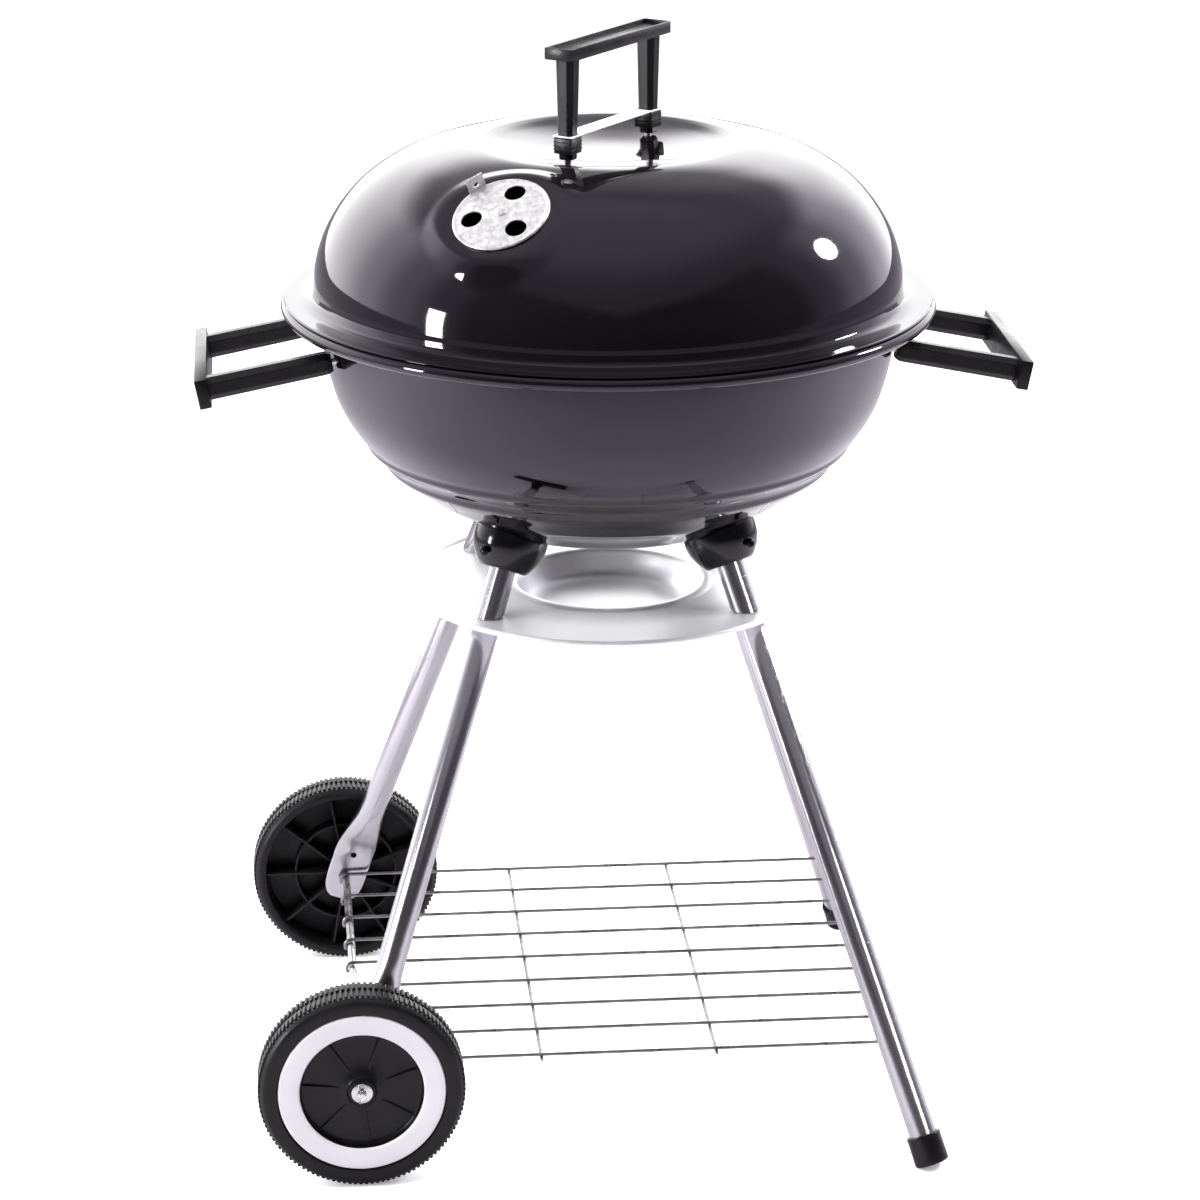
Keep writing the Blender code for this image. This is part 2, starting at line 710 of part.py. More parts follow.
def at_height(side, end, height):
    top, low = leg_axis(side, end)
    return top + (low - top) * (top.z - height) / (top.z - low.z)


def leg_direction(side, end):
    top, low = leg_axis(side, end)
    return (low - top).normalized()


def outward(side, end):
    """Horizontal-ish direction square to the leg that points away from the kettle axis."""
    down = leg_direction(side, end)
    radial = Vector((down.x, down.y, 0.0)).normalized()
    return (radial - down * radial.dot(down)).normalized()


def build_upper_leg(label, side, end):
    down = leg_direction(side, end)
    top = at_height(side, end, LEG_TOP_Z)
    below = at_height(side, end, TRAY_Z - 0.02)
    leg = rod("upper_leg_" + label, top, below, LEG_R, SMALL + 4, "chrome_tube")
    cut_below(leg, TRAY_Z + GAP)
    middle = at_height(side, end, TRAY_Z)
    spigot = rod("spigot", middle - down * 0.016, middle + down * SPIGOT_LEN, SPIGOT_R, SMALL, None)
    join(leg, spigot)
    bore = rod("bore", top - down * 0.01, middle + down * (SPIGOT_LEN + 0.01), UPPER_BORE_R, SMALL, None)
    cut(leg, bore)
    screw = socket_screw_point(side, end)
    push = outward(side, end)
    cut(leg, rod("screw_hole", screw, screw + push * 0.04, SCREW_R + GAP, 12, None))
    return leg


def socket_screw_point(side, end):
    return at_height(side, end, LEG_TOP_Z) + leg_direction(side, end) * 0.0060


def build_socket(label, side, end):
    down = leg_direction(side, end)
    base = at_height(side, end, SOCKET_END_Z)
    profile = [(0.0, 0.0)] + SOCKET_PROFILE + [(0.0, SOCKET_PROFILE[-1][1])]
    socket = aim(lathe("leg_socket_" + label, profile, MEDIUM, "gloss_black"), base, -down)
    cut(socket, bowl_envelope())
    top = at_height(side, end, LEG_TOP_Z) - down * 0.0006
    cut(socket, rod("bore", base + down * 0.01, top, LEG_R + GAP, SMALL + 4, None))
    screw = socket_screw_point(side, end)
    push = outward(side, end)
    cut(socket, rod("screw_hole", screw, screw + push * 0.04, SCREW_R + GAP, 12, None))
    return socket


def socket_radius(distance):
    for (r0, s0), (r1, s1) in zip(SOCKET_PROFILE, SOCKET_PROFILE[1:]):
        if s0 <= distance <= s1:
            return r0 + (r1 - r0) * (distance - s0) / (s1 - s0)
    return SOCKET_PROFILE[-1][0]


def build_socket_screw(label, side, end):
    point = socket_screw_point(side, end)
    push = outward(side, end)
    base = at_height(side, end, SOCKET_END_Z)
    distance = (point - base).length
    head_at = socket_radius(distance + SCREW_HEAD_R) + GAP
    inner = UPPER_BORE_R + 0.0010
    profile = [(0.0, 0.0), (SCREW_R, 0.0), (SCREW_R, head_at - inner), (SCREW_HEAD_R, head_at - inner),
               (SCREW_HEAD_R, head_at - inner + 0.0008), (SCREW_HEAD_R * 0.6, head_at - inner + 0.0020),
               (0.0, head_at - inner + 0.0024)]
    screw = lathe("socket_screw_" + label, profile, 12, "steel")
    return aim(screw, point + push * inner, push)


def build_lower_leg(label, side, end):
    down = leg_direction(side, end)
    start = at_height(side, end, TRAY_Z + 0.012)
    if side < 0:
        leg = flattened_leg("lower_leg_" + label, side, end, start)
        bore_end = at_height(side, end, 0.150)
    else:
        stop = at_height(side, end, FOOT_END_Z) - down * (CAP_FLOOR + GAP)
        leg = rod("lower_leg_" + label, start, stop, LEG_R, SMALL + 4, "chrome_tube")
        bore_end = stop + down * 0.01
    cut_above(leg, TRAY_Z - TRAY_T - GAP)
    cut(leg, rod("bore", start - down * 0.01, bore_end, BORE_R, SMALL, None))
    hole_x = AXLE_X if side < 0 else ROD_X
    hole_stop = 0.25 if side < 0 else ROD_HALF
    hole_ends = [(hole_x, end * y, AXLE_Z) for y in (0.1, hole_stop)]
    cut(leg, rod("axle_hole", hole_ends[0], hole_ends[1], AXLE_R + GAP, SMALL, None))
    if side < 0:
        cut(leg, rod("spare_hole", (AXLE_X + 0.0063, end * 0.1, AXLE_Z + 0.0190),
                     (AXLE_X + 0.0063, end * 0.25, AXLE_Z + 0.0190), 0.0023, 12, None))
    button = button_point(side, end)
    push = outward(side, end)
    cut(leg, rod("button_hole", button + push * 0.004, button + push * 0.03, BUTTON_R + GAP, 14, None))
    return leg


def flattened_leg(name, side, end, start):
    """Tube pressed flat at the bottom; the flat plate stands square to the axle."""
    stations = [
        (start, LEG_R, LEG_R, 1.0, 0.0),
        (at_height(side, end, 0.1420), LEG_R, LEG_R, 1.0, 0.0),
        (at_height(side, end, 0.1280), LEG_R * 1.12, LEG_R * 0.80, 0.9, 0.15),
        (at_height(side, end, 0.1130), PLATE_W * 0.46, LEG_R * 0.38, 0.7, 0.5),
        (at_height(side, end, 0.1040), PLATE_W / 2, PLATE_T / 2, 0.5, 1.0),
        (Vector((AXLE_X, end * PLATE_Y, 0.0940)), PLATE_W / 2, PLATE_T / 2, 0.5, 1.0),
        (Vector((AXLE_X, end * PLATE_Y, 0.0700)), PLATE_W / 2, PLATE_T / 2, 0.5, 1.0),
        (Vector((AXLE_X - 0.0030, end * PLATE_Y, 0.0610)), PLATE_W * 0.44, PLATE_T / 2, 0.5, 1.0),
        (Vector((AXLE_X - 0.0045, end * PLATE_Y, 0.0560)), PLATE_W * 0.30, PLATE_T / 2, 0.5, 1.0),
    ]
    sections = []
    for i, (centre, half_u, half_w, power, flat) in enumerate(stations):
        before = stations[max(i - 1, 0)][0]
        after = stations[min(i + 1, len(stations) - 1)][0]
        tangent = (after - before).normalized()
        across = Vector((0.0, 1.0, 0.0))
        u = tangent.cross(across).normalized()
        square = u.cross(tangent).normalized()
        w = (square * (1.0 - flat) + across * flat * (1 if square.y > 0 else -1)).normalized()
        section = []
        for k in range(SMALL + 4):
            angle = 2 * math.pi * k / (SMALL + 4)
            cosine = math.cos(angle)
            sine = math.sin(angle)
            a = math.copysign(abs(cosine) ** power, cosine)
            b = math.copysign(abs(sine) ** power, sine)
            section.append(centre + u * half_u * a + w * half_w * b)
        sections.append(section)
    return loft(name, sections, "chrome_tube")


def button_point(side, end):
    return at_height(side, end, TRAY_Z) + leg_direction(side, end) * BUTTON_DROP


def build_button(label, side, end):
    point = button_point(side, end)
    push = outward(side, end)
    start = SPIGOT_R + GAP
    length = LEG_R + 0.0014 - start
    profile = [(0.0, 0.0), (BUTTON_R, 0.0), (BUTTON_R, length - 0.0006), (BUTTON_R * 0.6, length),
               (0.0, length)]
    return aim(lathe("leg_button_" + label, profile, 12, "steel"), point + push * start, push)


def build_foot_cap(label, end):
    down = leg_direction(1, end)
    low = at_height(1, end, FOOT_END_Z)
    profile = [(0.0, 0.0), (CAP_R - 0.0010, 0.0), (CAP_R, 0.0012), (CAP_R, CAP_LEN - 0.0006),
               (CAP_R - 0.0006, CAP_LEN), (LEG_R + GAP, CAP_LEN), (LEG_R + GAP, CAP_FLOOR),
               (0.0, CAP_FLOOR)]
    cap = aim(lathe("foot_cap_" + label, profile, SMALL + 4, "black_plastic"), low, -down)
    return cut_below(cap, 0.0)


def build_tray():
    top = TRAY_Z
    low = TRAY_Z - TRAY_DEPTH
    upper = [
        (0.0, low), (TRAY_FLOOR_R, low), (TRAY_FLOOR_R + 0.006, low + 0.0020),
        (TRAY_LIP_R - 0.006, top - 0.0030),
        (TRAY_LIP_R, top + 0.0012), (TRAY_LIP_R + 0.004, top + 0.0010), (TRAY_LIP_R + 0.008, top),
        (TRAY_R - 0.0040, top),
    ]
    lower = offset_path(upper, -TRAY_T)
    lower[0] = (0.0, low - TRAY_T)
    bead = []
    for k in range(7):
        angle = math.radians(140.0 - 280.0 * k / 6)
        bead.append((TRAY_R - TRAY_BEAD + TRAY_BEAD * math.cos(angle),
                     top - TRAY_T / 2 + TRAY_BEAD * math.sin(angle)))
    tray = lathe("ash_tray", upper + bead + list(reversed(lower)), TRAY_SIDES, "tray_steel")
    for side in (-1, 1):
        for end in (-1, 1):
            down = leg_direction(side, end)
            middle = at_height(side, end, TRAY_Z)
            cut(tray, rod("leg_hole", middle - down * 0.02, middle + down * 0.02, BORE_R, SMALL, None))
    return tray


# ---------------------------------------------------------------- running gear
def build_wheel(name, end):
    profile = [
        (AXLE_R + GAP, HUB_FACE), (0.0095, HUB_FACE), (0.0112, 0.0118), (0.0200, 0.0085), (0.0400, 0.0078),
        (0.0432, 0.0100), (0.0436, TRIM_SEAT), (TRIM_OUT_R + 0.0007, TRIM_SEAT),
        (TRIM_OUT_R + 0.0011, WHEEL_HALF),
        (0.0700, WHEEL_HALF), (WHEEL_R, WHEEL_HALF - 0.0040), (WHEEL_R, -WHEEL_HALF + 0.0040),
        (0.0700, -WHEEL_HALF), (0.0645, -WHEEL_HALF), (0.0625, -0.0130), (0.0610, 0.0060), (0.0430, 0.0050),
        (0.0200, 0.0045), (0.0110, 0.0040), (0.0100, -HUB_INNER), (AXLE_R + GAP, -HUB_INNER),
    ]
    wheel = lathe(name, profile, 32, "tyre")
    aim(wheel, (AXLE_X, end * WHEEL_Y, AXLE_Z), (0, end, 0))
    for k in range(WHEEL_RIBS):
        angle = 2 * math.pi * k / WHEEL_RIBS
        rib = box("rib", (0.0530, 0.0020, 0.0190), None)
        local = Matrix.Rotation(angle, 4, "Z") @ Matrix.Translation((0.0365, 0.0, -0.0030))
        rib.matrix_world = wheel_matrix(end) @ local
        join(wheel, rib)
    return wheel


def wheel_matrix(end):
    turn = Vector((0, end, 0)).to_track_quat("Z", "Y").to_matrix().to_4x4()
    return Matrix.Translation((AXLE_X, end * WHEEL_Y, AXLE_Z)) @ turn


def build_trim(name, end):
    seat_z = TRIM_SEAT + GAP
    profile = [(TRIM_IN_R, seat_z), (TRIM_IN_R, seat_z + 0.0012), (TRIM_IN_R + 0.0010, seat_z + 0.0020),
               (TRIM_OUT_R - 0.0010, WHEEL_HALF), (TRIM_OUT_R, WHEEL_HALF - 0.0008), (TRIM_OUT_R, seat_z)]
    return aim(lathe(name, profile, 32, "trim_white"), (AXLE_X, end * WHEEL_Y, AXLE_Z), (0, end, 0))


def build_axle():
    axle = rod("axle", (AXLE_X, -AXLE_HALF, AXLE_Z), (AXLE_X, AXLE_HALF, AXLE_Z), AXLE_R, SMALL, "steel")
    for end in (-1, 1):
        low = (AXLE_X, end * PIN_Y, AXLE_Z - 0.01)
        high = (AXLE_X, end * PIN_Y, AXLE_Z + 0.01)
        cut(axle, rod("pin_hole", low, high, PIN_R + GAP, 12, None))
    return axle


def build_washer(name, end):
    inner = WHEEL_Y + HUB_FACE + GAP
    profile = [(AXLE_R + GAP, 0.0), (AXLE_R + GAP, WASHER_T), (WASHER_R, WASHER_T), (WASHER_R, 0.0)]
    return aim(lathe(name, profile, SMALL, "steel"), (AXLE_X, end * inner, AXLE_Z), (0, end, 0))


def build_split_pin(name, end):
    y = end * PIN_Y
    tip = AXLE_Z + 0.0085
    fork = AXLE_Z + AXLE_R + 0.0006
    pin = rod(name, (AXLE_X, y, AXLE_Z - 0.0065), (AXLE_X, y, fork), PIN_R, 10, "steel")
    for side in (-1, 1):
        prong_end = (AXLE_X + side * 0.0042, y, tip)
        join(pin, rod("prong", (AXLE_X, y, fork - 0.0003), prong_end, PIN_R * 0.9, 10, None))
    return pin


def hook_points(centre_x, toward, low_angle):
    points = []
    radius = AXLE_R + WIRE_R + GAP
    for k in range(5):
        angle = math.radians(low_angle + (90.0 - low_angle) * k / 4)
        points.append((centre_x + toward * radius * math.cos(angle), AXLE_Z + radius * math.sin(angle)))
    return points


def build_rack():
    rack = None
    for k in range(WIRES):
        y = WIRE_HALF_Y * (2 * k / (WIRES - 1) - 1)
        left = hook_points(AXLE_X, -1, -40.0)
        right = list(reversed(hook_points(ROD_X, 1, -40.0)))
        points = [(x, y, z) for x, z in left + right]
        wire = wire_path("wire_rack" if k == 0 else "wire", points, WIRE_R, 5, "wire" if k == 0 else None)
        if rack is None:
            rack = wire
            for x in (-CROSS_WIRE_X, CROSS_WIRE_X):
                z = WIRE_Z - 2 * WIRE_R + 0.0003
                reach = WIRE_HALF_Y + 0.0040
                join(rack, rod("cross", (x, -reach, z), (x, reach, z), WIRE_R, 6, None))
        else:
            join(rack, wire)
    return rack


def build_cross_rod():
    """Its ends sit inside the right legs, through a hole in each leg's inner wall only."""
    rod("cross_rod", (ROD_X, -ROD_HALF, AXLE_Z), (ROD_X, ROD_HALF, AXLE_Z), AXLE_R, SMALL, "steel")


def main():
    clear_scene()
    build_bowl()
    build_lid()
    build_dampers()
    build_lid_handle()
    build_lid_handle_fittings()
    build_lid_handle_strap()
    build_side_handle("side_handle_left", -1)
    build_side_handle("side_handle_right", 1)
    build_side_bolts()
    build_grate("cooking_grate", COOK_R, COOK_Z, COOK_BARS, True)
    build_grate("charcoal_grate", COAL_R, COAL_Z, COAL_BARS, True)
    build_brackets()
    for side_name, side in (("left", -1), ("right", 1)):
        for end_name, end in (("front", -1), ("rear", 1)):
            label = side_name + "_" + end_name
            build_upper_leg(label, side, end)
            build_socket(label, side, end)
            build_socket_screw(label, side, end)
            build_lower_leg(label, side, end)
            build_button(label, side, end)
    build_foot_cap("front", -1)
    build_foot_cap("rear", 1)
    build_tray()
    build_axle()
    for label, end in (("front", -1), ("rear", 1)):
        build_wheel("wheel_" + label, end)
        build_trim("wheel_trim_" + label, end)
        build_washer("axle_washer_" + label, end)
        build_split_pin("split_pin_" + label, end)
    build_rack()
    build_cross_rod()


main()
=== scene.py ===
"""Kettle charcoal grill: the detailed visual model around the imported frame."""

import json
import math

import bmesh
import bpy
from mathutils import Matrix, Vector

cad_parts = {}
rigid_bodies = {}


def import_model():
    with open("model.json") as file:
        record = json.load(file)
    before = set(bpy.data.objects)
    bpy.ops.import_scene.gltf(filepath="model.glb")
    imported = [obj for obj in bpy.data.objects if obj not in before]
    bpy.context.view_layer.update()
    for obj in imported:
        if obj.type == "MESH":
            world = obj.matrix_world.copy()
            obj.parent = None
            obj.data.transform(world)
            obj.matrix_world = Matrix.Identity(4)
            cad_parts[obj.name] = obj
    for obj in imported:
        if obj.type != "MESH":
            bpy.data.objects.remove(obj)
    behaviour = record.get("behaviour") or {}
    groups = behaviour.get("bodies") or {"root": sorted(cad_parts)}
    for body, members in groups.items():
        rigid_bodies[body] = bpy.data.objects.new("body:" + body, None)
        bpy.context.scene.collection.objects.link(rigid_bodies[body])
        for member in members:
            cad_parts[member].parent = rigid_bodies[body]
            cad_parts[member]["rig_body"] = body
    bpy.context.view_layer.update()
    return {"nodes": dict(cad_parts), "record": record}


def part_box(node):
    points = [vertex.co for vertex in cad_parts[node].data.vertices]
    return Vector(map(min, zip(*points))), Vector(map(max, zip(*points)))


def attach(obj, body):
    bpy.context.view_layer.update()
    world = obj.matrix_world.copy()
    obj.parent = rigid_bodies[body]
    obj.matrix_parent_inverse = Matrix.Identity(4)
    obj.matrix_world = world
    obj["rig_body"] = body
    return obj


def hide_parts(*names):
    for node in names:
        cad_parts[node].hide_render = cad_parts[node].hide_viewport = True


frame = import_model()
RECORD = frame["record"]

# ---------------- sizes, in metres
GAP = 0.0003
FINE = 192
SHELL = 0.0015
RIM_R = 0.2350
BEAD_R = 0.0045
BEAD_Z = 0.5905
BOWL_WALL = [
    (0.2085, 0.5850), (0.2070, 0.5700), (0.2022, 0.5450), (0.1967, 0.5256),
    (0.1904, 0.5120), (0.1815, 0.4986), (0.1775, 0.4938),
]
BOWL_STEP_1 = [(0.1766, 0.4922), (0.1762, 0.4900), (0.1745, 0.4880), (0.1697, 0.4843), (0.1650, 0.4797)]
BOWL_STEP_2 = [(0.1637, 0.4775), (0.1630, 0.4750), (0.1605, 0.4726), (0.1448, 0.4620), (0.1308, 0.4520),
               (0.1150, 0.4435), (0.1015, 0.4350)]
BOWL_FOOT = [(0.0985, 0.4335), (0.0950, 0.4325), (0.0800, 0.4320), (0.0610, 0.4316)]
BOWL_FLOOR_Z = 0.4300
LID_DOME = [
    (0.0000, 0.6975), (0.0300, 0.6985), (0.0550, 0.7012), (0.0750, 0.7042), (0.0870, 0.7066),
    (0.0935, 0.7074), (0.1020, 0.7068), (0.1200, 0.7035), (0.1440, 0.6965),
    (0.1620, 0.6872), (0.1790, 0.6745), (0.1930, 0.6585), (0.2030, 0.6415),
    (0.2090, 0.6240), (0.2112, 0.6100), (0.2118, 0.6040), (0.2137, 0.5993),
    (0.2185, 0.5972), (0.2300, 0.5968),
]
LID_SEAT_Z = 0.5953

DAMPER_T = 0.0010
DAMPER_LIP = 0.0022
DAMPER_CURVE = 0.3060
DISC_R = 0.0342
SEAT_SINK = 0.0008
FLAT_R = 0.0360
FLAT_FADE = 0.0580
LID_FINE = 400
VENT_RING_R = 0.0205
VENT_R = 0.0075
PAD_RISE = 0.0006
LID_DAMPER_R = 0.1620
LID_DAMPER_AZ = math.radians(-122.0)
LID_DAMPER_SLOPE = math.radians(32.0)
LID_DAMPER_Z = 0.6872
LID_VENT_START = math.radians(85.0)
LID_TAB_ANGLE = math.radians(143.0)
ASH_VENT_START = math.radians(83.0)
ASH_TAB_ANGLE = math.radians(37.0)

GRIP_AZ = math.radians(53.0)
GRIP_LEN = 0.1330
GRIP_W = 0.0225
GRIP_H = 0.0085
GRIP_TOP_Z = 0.7830
POST_OFFSET = 0.0540
POST_TOP_W = 0.0146
POST_LOW_W = 0.0114
HANDLE_FOOT_Z = 0.7035
SLEEVE_W = 0.0144
SLEEVE_LOW_Z = 0.7077
SLEEVE_TOP_Z = 0.7192
STRAP_W = 0.0138
STRAP_PAD_W = 0.0154
STRAP_LOW_Z = 0.7195
STRAP_T = 0.0012

SIDE_POST_Y = 0.0570
SIDE_ROOT_Z = 0.5650
SIDE_DROOP = math.radians(11.0)
SIDE_OUT_X = 0.2975
SIDE_BAR_LEN = 0.1460
SIDE_BAR_H = 0.0210
SIDE_BAR_T = 0.0085
SIDE_POST_W = 0.0140
SIDE_POST_H = 0.0165

COOK_Z = 0.5770
COOK_R = 0.1990
COAL_Z = 0.5000
COAL_R = 0.1740
GRATE_WIRE = 0.0018
GRATE_BAR = 0.0014

LEG_R = 0.0100
LEG_TOP = Vector((0.0789, 0.0641, 0.4200))
AXLE_X = -0.1935
AXLE_Z = 0.0736
PLATE_Y = 0.1805
PLATE_T = 0.0040
PLATE_W = 0.0310
FOOT = Vector((0.2158, 0.2197, 0.0))
CAP_R = 0.0125
CAP_LEN = 0.0220
SOCKET_LOW_Z = 0.4105
SOCKET_R = 0.0268
SCREW_Z = 0.4240
UPPER_TOP_Z = 0.4236
SPIGOT_R = 0.0078
PRESS_Z = 0.1650

TRAY_R = 0.1460
TRAY_Z = 0.3790
TRAY_T = 0.0012
TRAY_BEAD = 0.0022
TRAY_DEPTH = 0.0180

WHEEL_R = 0.0736
WHEEL_Y = 0.2007
TREAD_KNOBS = 116
AXLE_R = 0.0030
AXLE_HALF = 0.2235
WIRE_R = 0.0013
WIRES = 9
WIRE_HALF_Y = 0.1735
WIRE_Z = AXLE_Z + AXLE_R + WIRE_R + GAP
ROD_X = LEG_TOP.x + (FOOT.x - LEG_TOP.x) * (LEG_TOP.z - AXLE_Z) / LEG_TOP.z
ROD_HALF = 0.1880
CROSS_WIRE_X = 0.0632
SIDES = (("left", -1), ("right", 1))
ENDS = (("front", -1), ("rear", 1))

CAMERA_AT = (-0.2520, -2.7300, 1.2903)
CAMERA_TILT = math.radians(71.328)
CAMERA_TURN = math.radians(-5.001)
CAMERA_LENS = 117.65


# ---------------- materials
class Graph:
    """Small helper around one material's node tree."""

    def __init__(self, name):
        self.material = bpy.data.materials.new(name)
        self.material.use_nodes = True
        self.tree = self.material.node_tree
        self.shader = self.tree.nodes["Principled BSDF"]
        self.coords = self.add("ShaderNodeTexCoord")

    def add(self, kind, **values):
        node = self.tree.nodes.new(kind)
        for key, value in values.items():
            if key in node.inputs:
                node.inputs[key].default_value = value
            else:
                setattr(node, key, value)
        return node

    def link(self, source, target):
        self.tree.links.new(source, target)

    def noise(self, scale, detail=3.0, roughness=0.5, stretch=(1.0, 1.0, 1.0)):
        mapping = self.add("ShaderNodeMapping")
        mapping.inputs["Scale"].default_value = stretch
        self.link(self.coords.outputs["Object"], mapping.inputs["Vector"])
        node = self.add("ShaderNodeTexNoise", Scale=scale, Detail=detail, Roughness=roughness)
        self.link(mapping.outputs["Vector"], node.inputs["Vector"])
        return node.outputs["Fac"]

    def ramp(self, factor, low, high, start=0.3, stop=0.7):
        node = self.add("ShaderNodeValToRGB")
        node.color_ramp.elements[0].position = start
        node.color_ramp.elements[1].position = stop
        node.color_ramp.elements[0].color = (*low, 1.0)
        node.color_ramp.elements[1].color = (*high, 1.0)
        self.link(factor, node.inputs["Fac"])
        return node.outputs["Color"]

    def span(self, factor, low, high, start=0.3, stop=0.7):
        node = self.add("ShaderNodeMapRange")
        node.inputs["From Min"].default_value = start
        node.inputs["From Max"].default_value = stop
        node.inputs["To Min"].default_value = low
        node.inputs["To Max"].default_value = high
        self.link(factor, node.inputs["Value"])
        return node.outputs["Result"]

    def bump(self, factor, strength, distance, below=None):
        node = self.add("ShaderNodeBump", Strength=strength, Distance=distance)
        self.link(factor, node.inputs["Height"])
        if below is not None:
            self.link(below, node.inputs["Normal"])
        return node.outputs["Normal"]

    def set(self, **values):
        for key, value in values.items():
            self.shader.inputs[key.replace("_", " ")].default_value = value


def surface(name, dark, light, metallic, rough, scale, bump, grain=None, stretch=(1.0, 1.0, 1.0), ior=1.5):
    """Base colour and roughness wander with a broad noise; a fine noise gives the relief."""
    g = Graph(name)
    g.set(Metallic=metallic, IOR=ior)
    broad = g.noise(scale, stretch=stretch)
    g.link(g.ramp(broad, dark, light), g.shader.inputs["Base Color"])
    g.link(g.span(broad, *rough), g.shader.inputs["Roughness"])
    fine_scale, strength, distance = bump
    fine = g.noise(fine_scale, detail=2.0, stretch=grain or stretch)
    g.link(g.bump(fine, strength, distance), g.shader.inputs["Normal"])
    return g


def make_materials():
    made = {
        "enamel": surface(
            "enamel_black", (0.0022, 0.0016, 0.0022), (0.0034, 0.0026, 0.0034), 0.0,
            (0.030, 0.060), 9.0, (140.0, 0.030, 0.0004), ior=1.55),
        "black_plastic": surface(
            "plastic_black", (0.0030, 0.0028, 0.0032), (0.0065, 0.0060, 0.0068), 0.0,
            (0.22, 0.34), 40.0, (900.0, 0.22, 0.0003)),
        "gloss_black": surface(
            "plastic_gloss", (0.0016, 0.0016, 0.0018), (0.0034, 0.0034, 0.0036), 0.0,
            (0.10, 0.20), 30.0, (120.0, 0.12, 0.0005), ior=1.46),
        "chrome_tube": surface(
            "chrome_tube", (0.43, 0.427, 0.445), (0.53, 0.527, 0.545), 1.0,
            (0.17, 0.25), 6.0, (650.0, 0.10, 0.0003), grain=(1.0, 1.0, 0.06)),
        "aluminium": surface(
            "damper_aluminium", (0.56, 0.555, 0.55), (0.86, 0.855, 0.84), 0.9,
            (0.30, 0.52), 260.0, (420.0, 0.40, 0.0005)),
        "tray_steel": surface(
            "tray_satin", (0.90, 0.90, 0.92), (0.95, 0.95, 0.97), 0.68,
            (0.32, 0.44), 14.0, (60.0, 0.04, 0.0006)),
        "wire": surface(
            "zinc_wire", (0.20, 0.20, 0.20), (0.36, 0.36, 0.36), 1.0,
            (0.24, 0.42), 60.0, (500.0, 0.20, 0.0002)),
        "steel": surface(
            "zinc_steel", (0.50, 0.50, 0.50), (0.70, 0.70, 0.70), 1.0,
            (0.20, 0.38), 90.0, (700.0, 0.20, 0.0002)),
        "black_screw": surface(
            "blackened_steel", (0.010, 0.010, 0.011), (0.030, 0.030, 0.032), 1.0,
            (0.16, 0.30), 90.0, (700.0, 0.20, 0.0002)),
        "tyre": surface(
            "wheel_plastic", (0.0030, 0.0028, 0.0032), (0.0070, 0.0066, 0.0074), 0.0,
            (0.30, 0.46), 50.0, (800.0, 0.28, 0.0003)),
        "trim_white": surface(
            "trim_white", (0.79, 0.79, 0.80), (0.84, 0.84, 0.85), 0.0,
            (0.30, 0.40), 30.0, (300.0, 0.06, 0.0002)),
        "grate_steel": surface(
            "grate_steel", (0.42, 0.42, 0.42), (0.62, 0.62, 0.62), 1.0,
            (0.22, 0.38), 70.0, (500.0, 0.20, 0.0002)),
    }
    made["enamel"].set(Specular_Tint=(1.0, 0.93, 1.04, 1.0))
    made["black_plastic"].set(Specular_IOR_Level=0.28)
    made["tyre"].set(Specular_IOR_Level=0.24)
    return {slot: graph.material for slot, graph in made.items()}


MATERIALS = make_materials()


# ---------------- mesh helpers
def knot(a, b):
    return max(math.sqrt((b - a).length), 1e-3)


def through(points, steps):
    """A smooth line through the points (centripetal Catmull-Rom)."""
    pts = [Vector(p) for p in points]
    pts = [pts[0] * 2 - pts[1]] + pts + [pts[-1] * 2 - pts[-2]]
    line = []
    for p0, p1, p2, p3 in zip(pts, pts[1:], pts[2:], pts[3:]):
        t1 = knot(p0, p1)
        t2 = t1 + knot(p1, p2)
        t3 = t2 + knot(p2, p3)
        for k in range(steps):
            t = t1 + (t2 - t1) * k / steps
            a1 = p0 * ((t1 - t) / t1) + p1 * (t / t1)
            a2 = p1 * ((t2 - t) / (t2 - t1)) + p2 * ((t - t1) / (t2 - t1))
            a3 = p2 * ((t3 - t) / (t3 - t2)) + p3 * ((t - t2) / (t3 - t2))
            b1 = a1 * ((t2 - t) / t2) + a2 * (t / t2)
            b2 = a2 * ((t3 - t) / (t3 - t1)) + a3 * ((t - t1) / (t3 - t1))
            line.append(b1 * ((t2 - t) / (t2 - t1)) + b2 * ((t - t1) / (t2 - t1)))
    line.append(pts[-2].copy())
    return line


def beside(path, distance):
    """Shift a profile to its left when walking along it."""
    moved = []
    for i, p in enumerate(path):
        d = Vector(path[min(i + 1, len(path) - 1)]) - Vector(path[max(i - 1, 0)])
        moved.append(Vector((p[0] - distance * d.y / d.length, p[1] + distance * d.x / d.length)))
    return moved


def skin(bm, rings, closed):
    faces = []
    pairs = list(zip(rings, rings[1:] + rings[:1])) if closed else list(zip(rings, rings[1:]))
    for a, b in pairs:
        count = max(len(a), len(b))
        if count == 1:
            continue
        for k in range(count):
            j = (k + 1) % count
            if len(a) == 1:
                faces.append(bm.faces.new((a[0], b[k], b[j])))
            elif len(b) == 1:
                faces.append(bm.faces.new((a[k], b[0], a[j])))
            else:
                faces.append(bm.faces.new((a[k], b[k], b[j], a[j])))
    return faces


def revolve(bm, profile, segments, place=Matrix.Identity(4)):
    """Turn (radius, height) points about the frame's Z axis."""
    rings = []
    for radius, height in profile:
        if radius < 1e-7:
            rings.append([bm.verts.new(place @ Vector((0.0, 0.0, height)))])
            continue
        turns = [2 * math.pi * k / segments for k in range(segments)]
        rings.append([bm.verts.new(place @ Vector((radius * math.cos(a), radius * math.sin(a), height)))
                      for a in turns])
    skin(bm, rings, closed=profile[0][0] >= 1e-7)


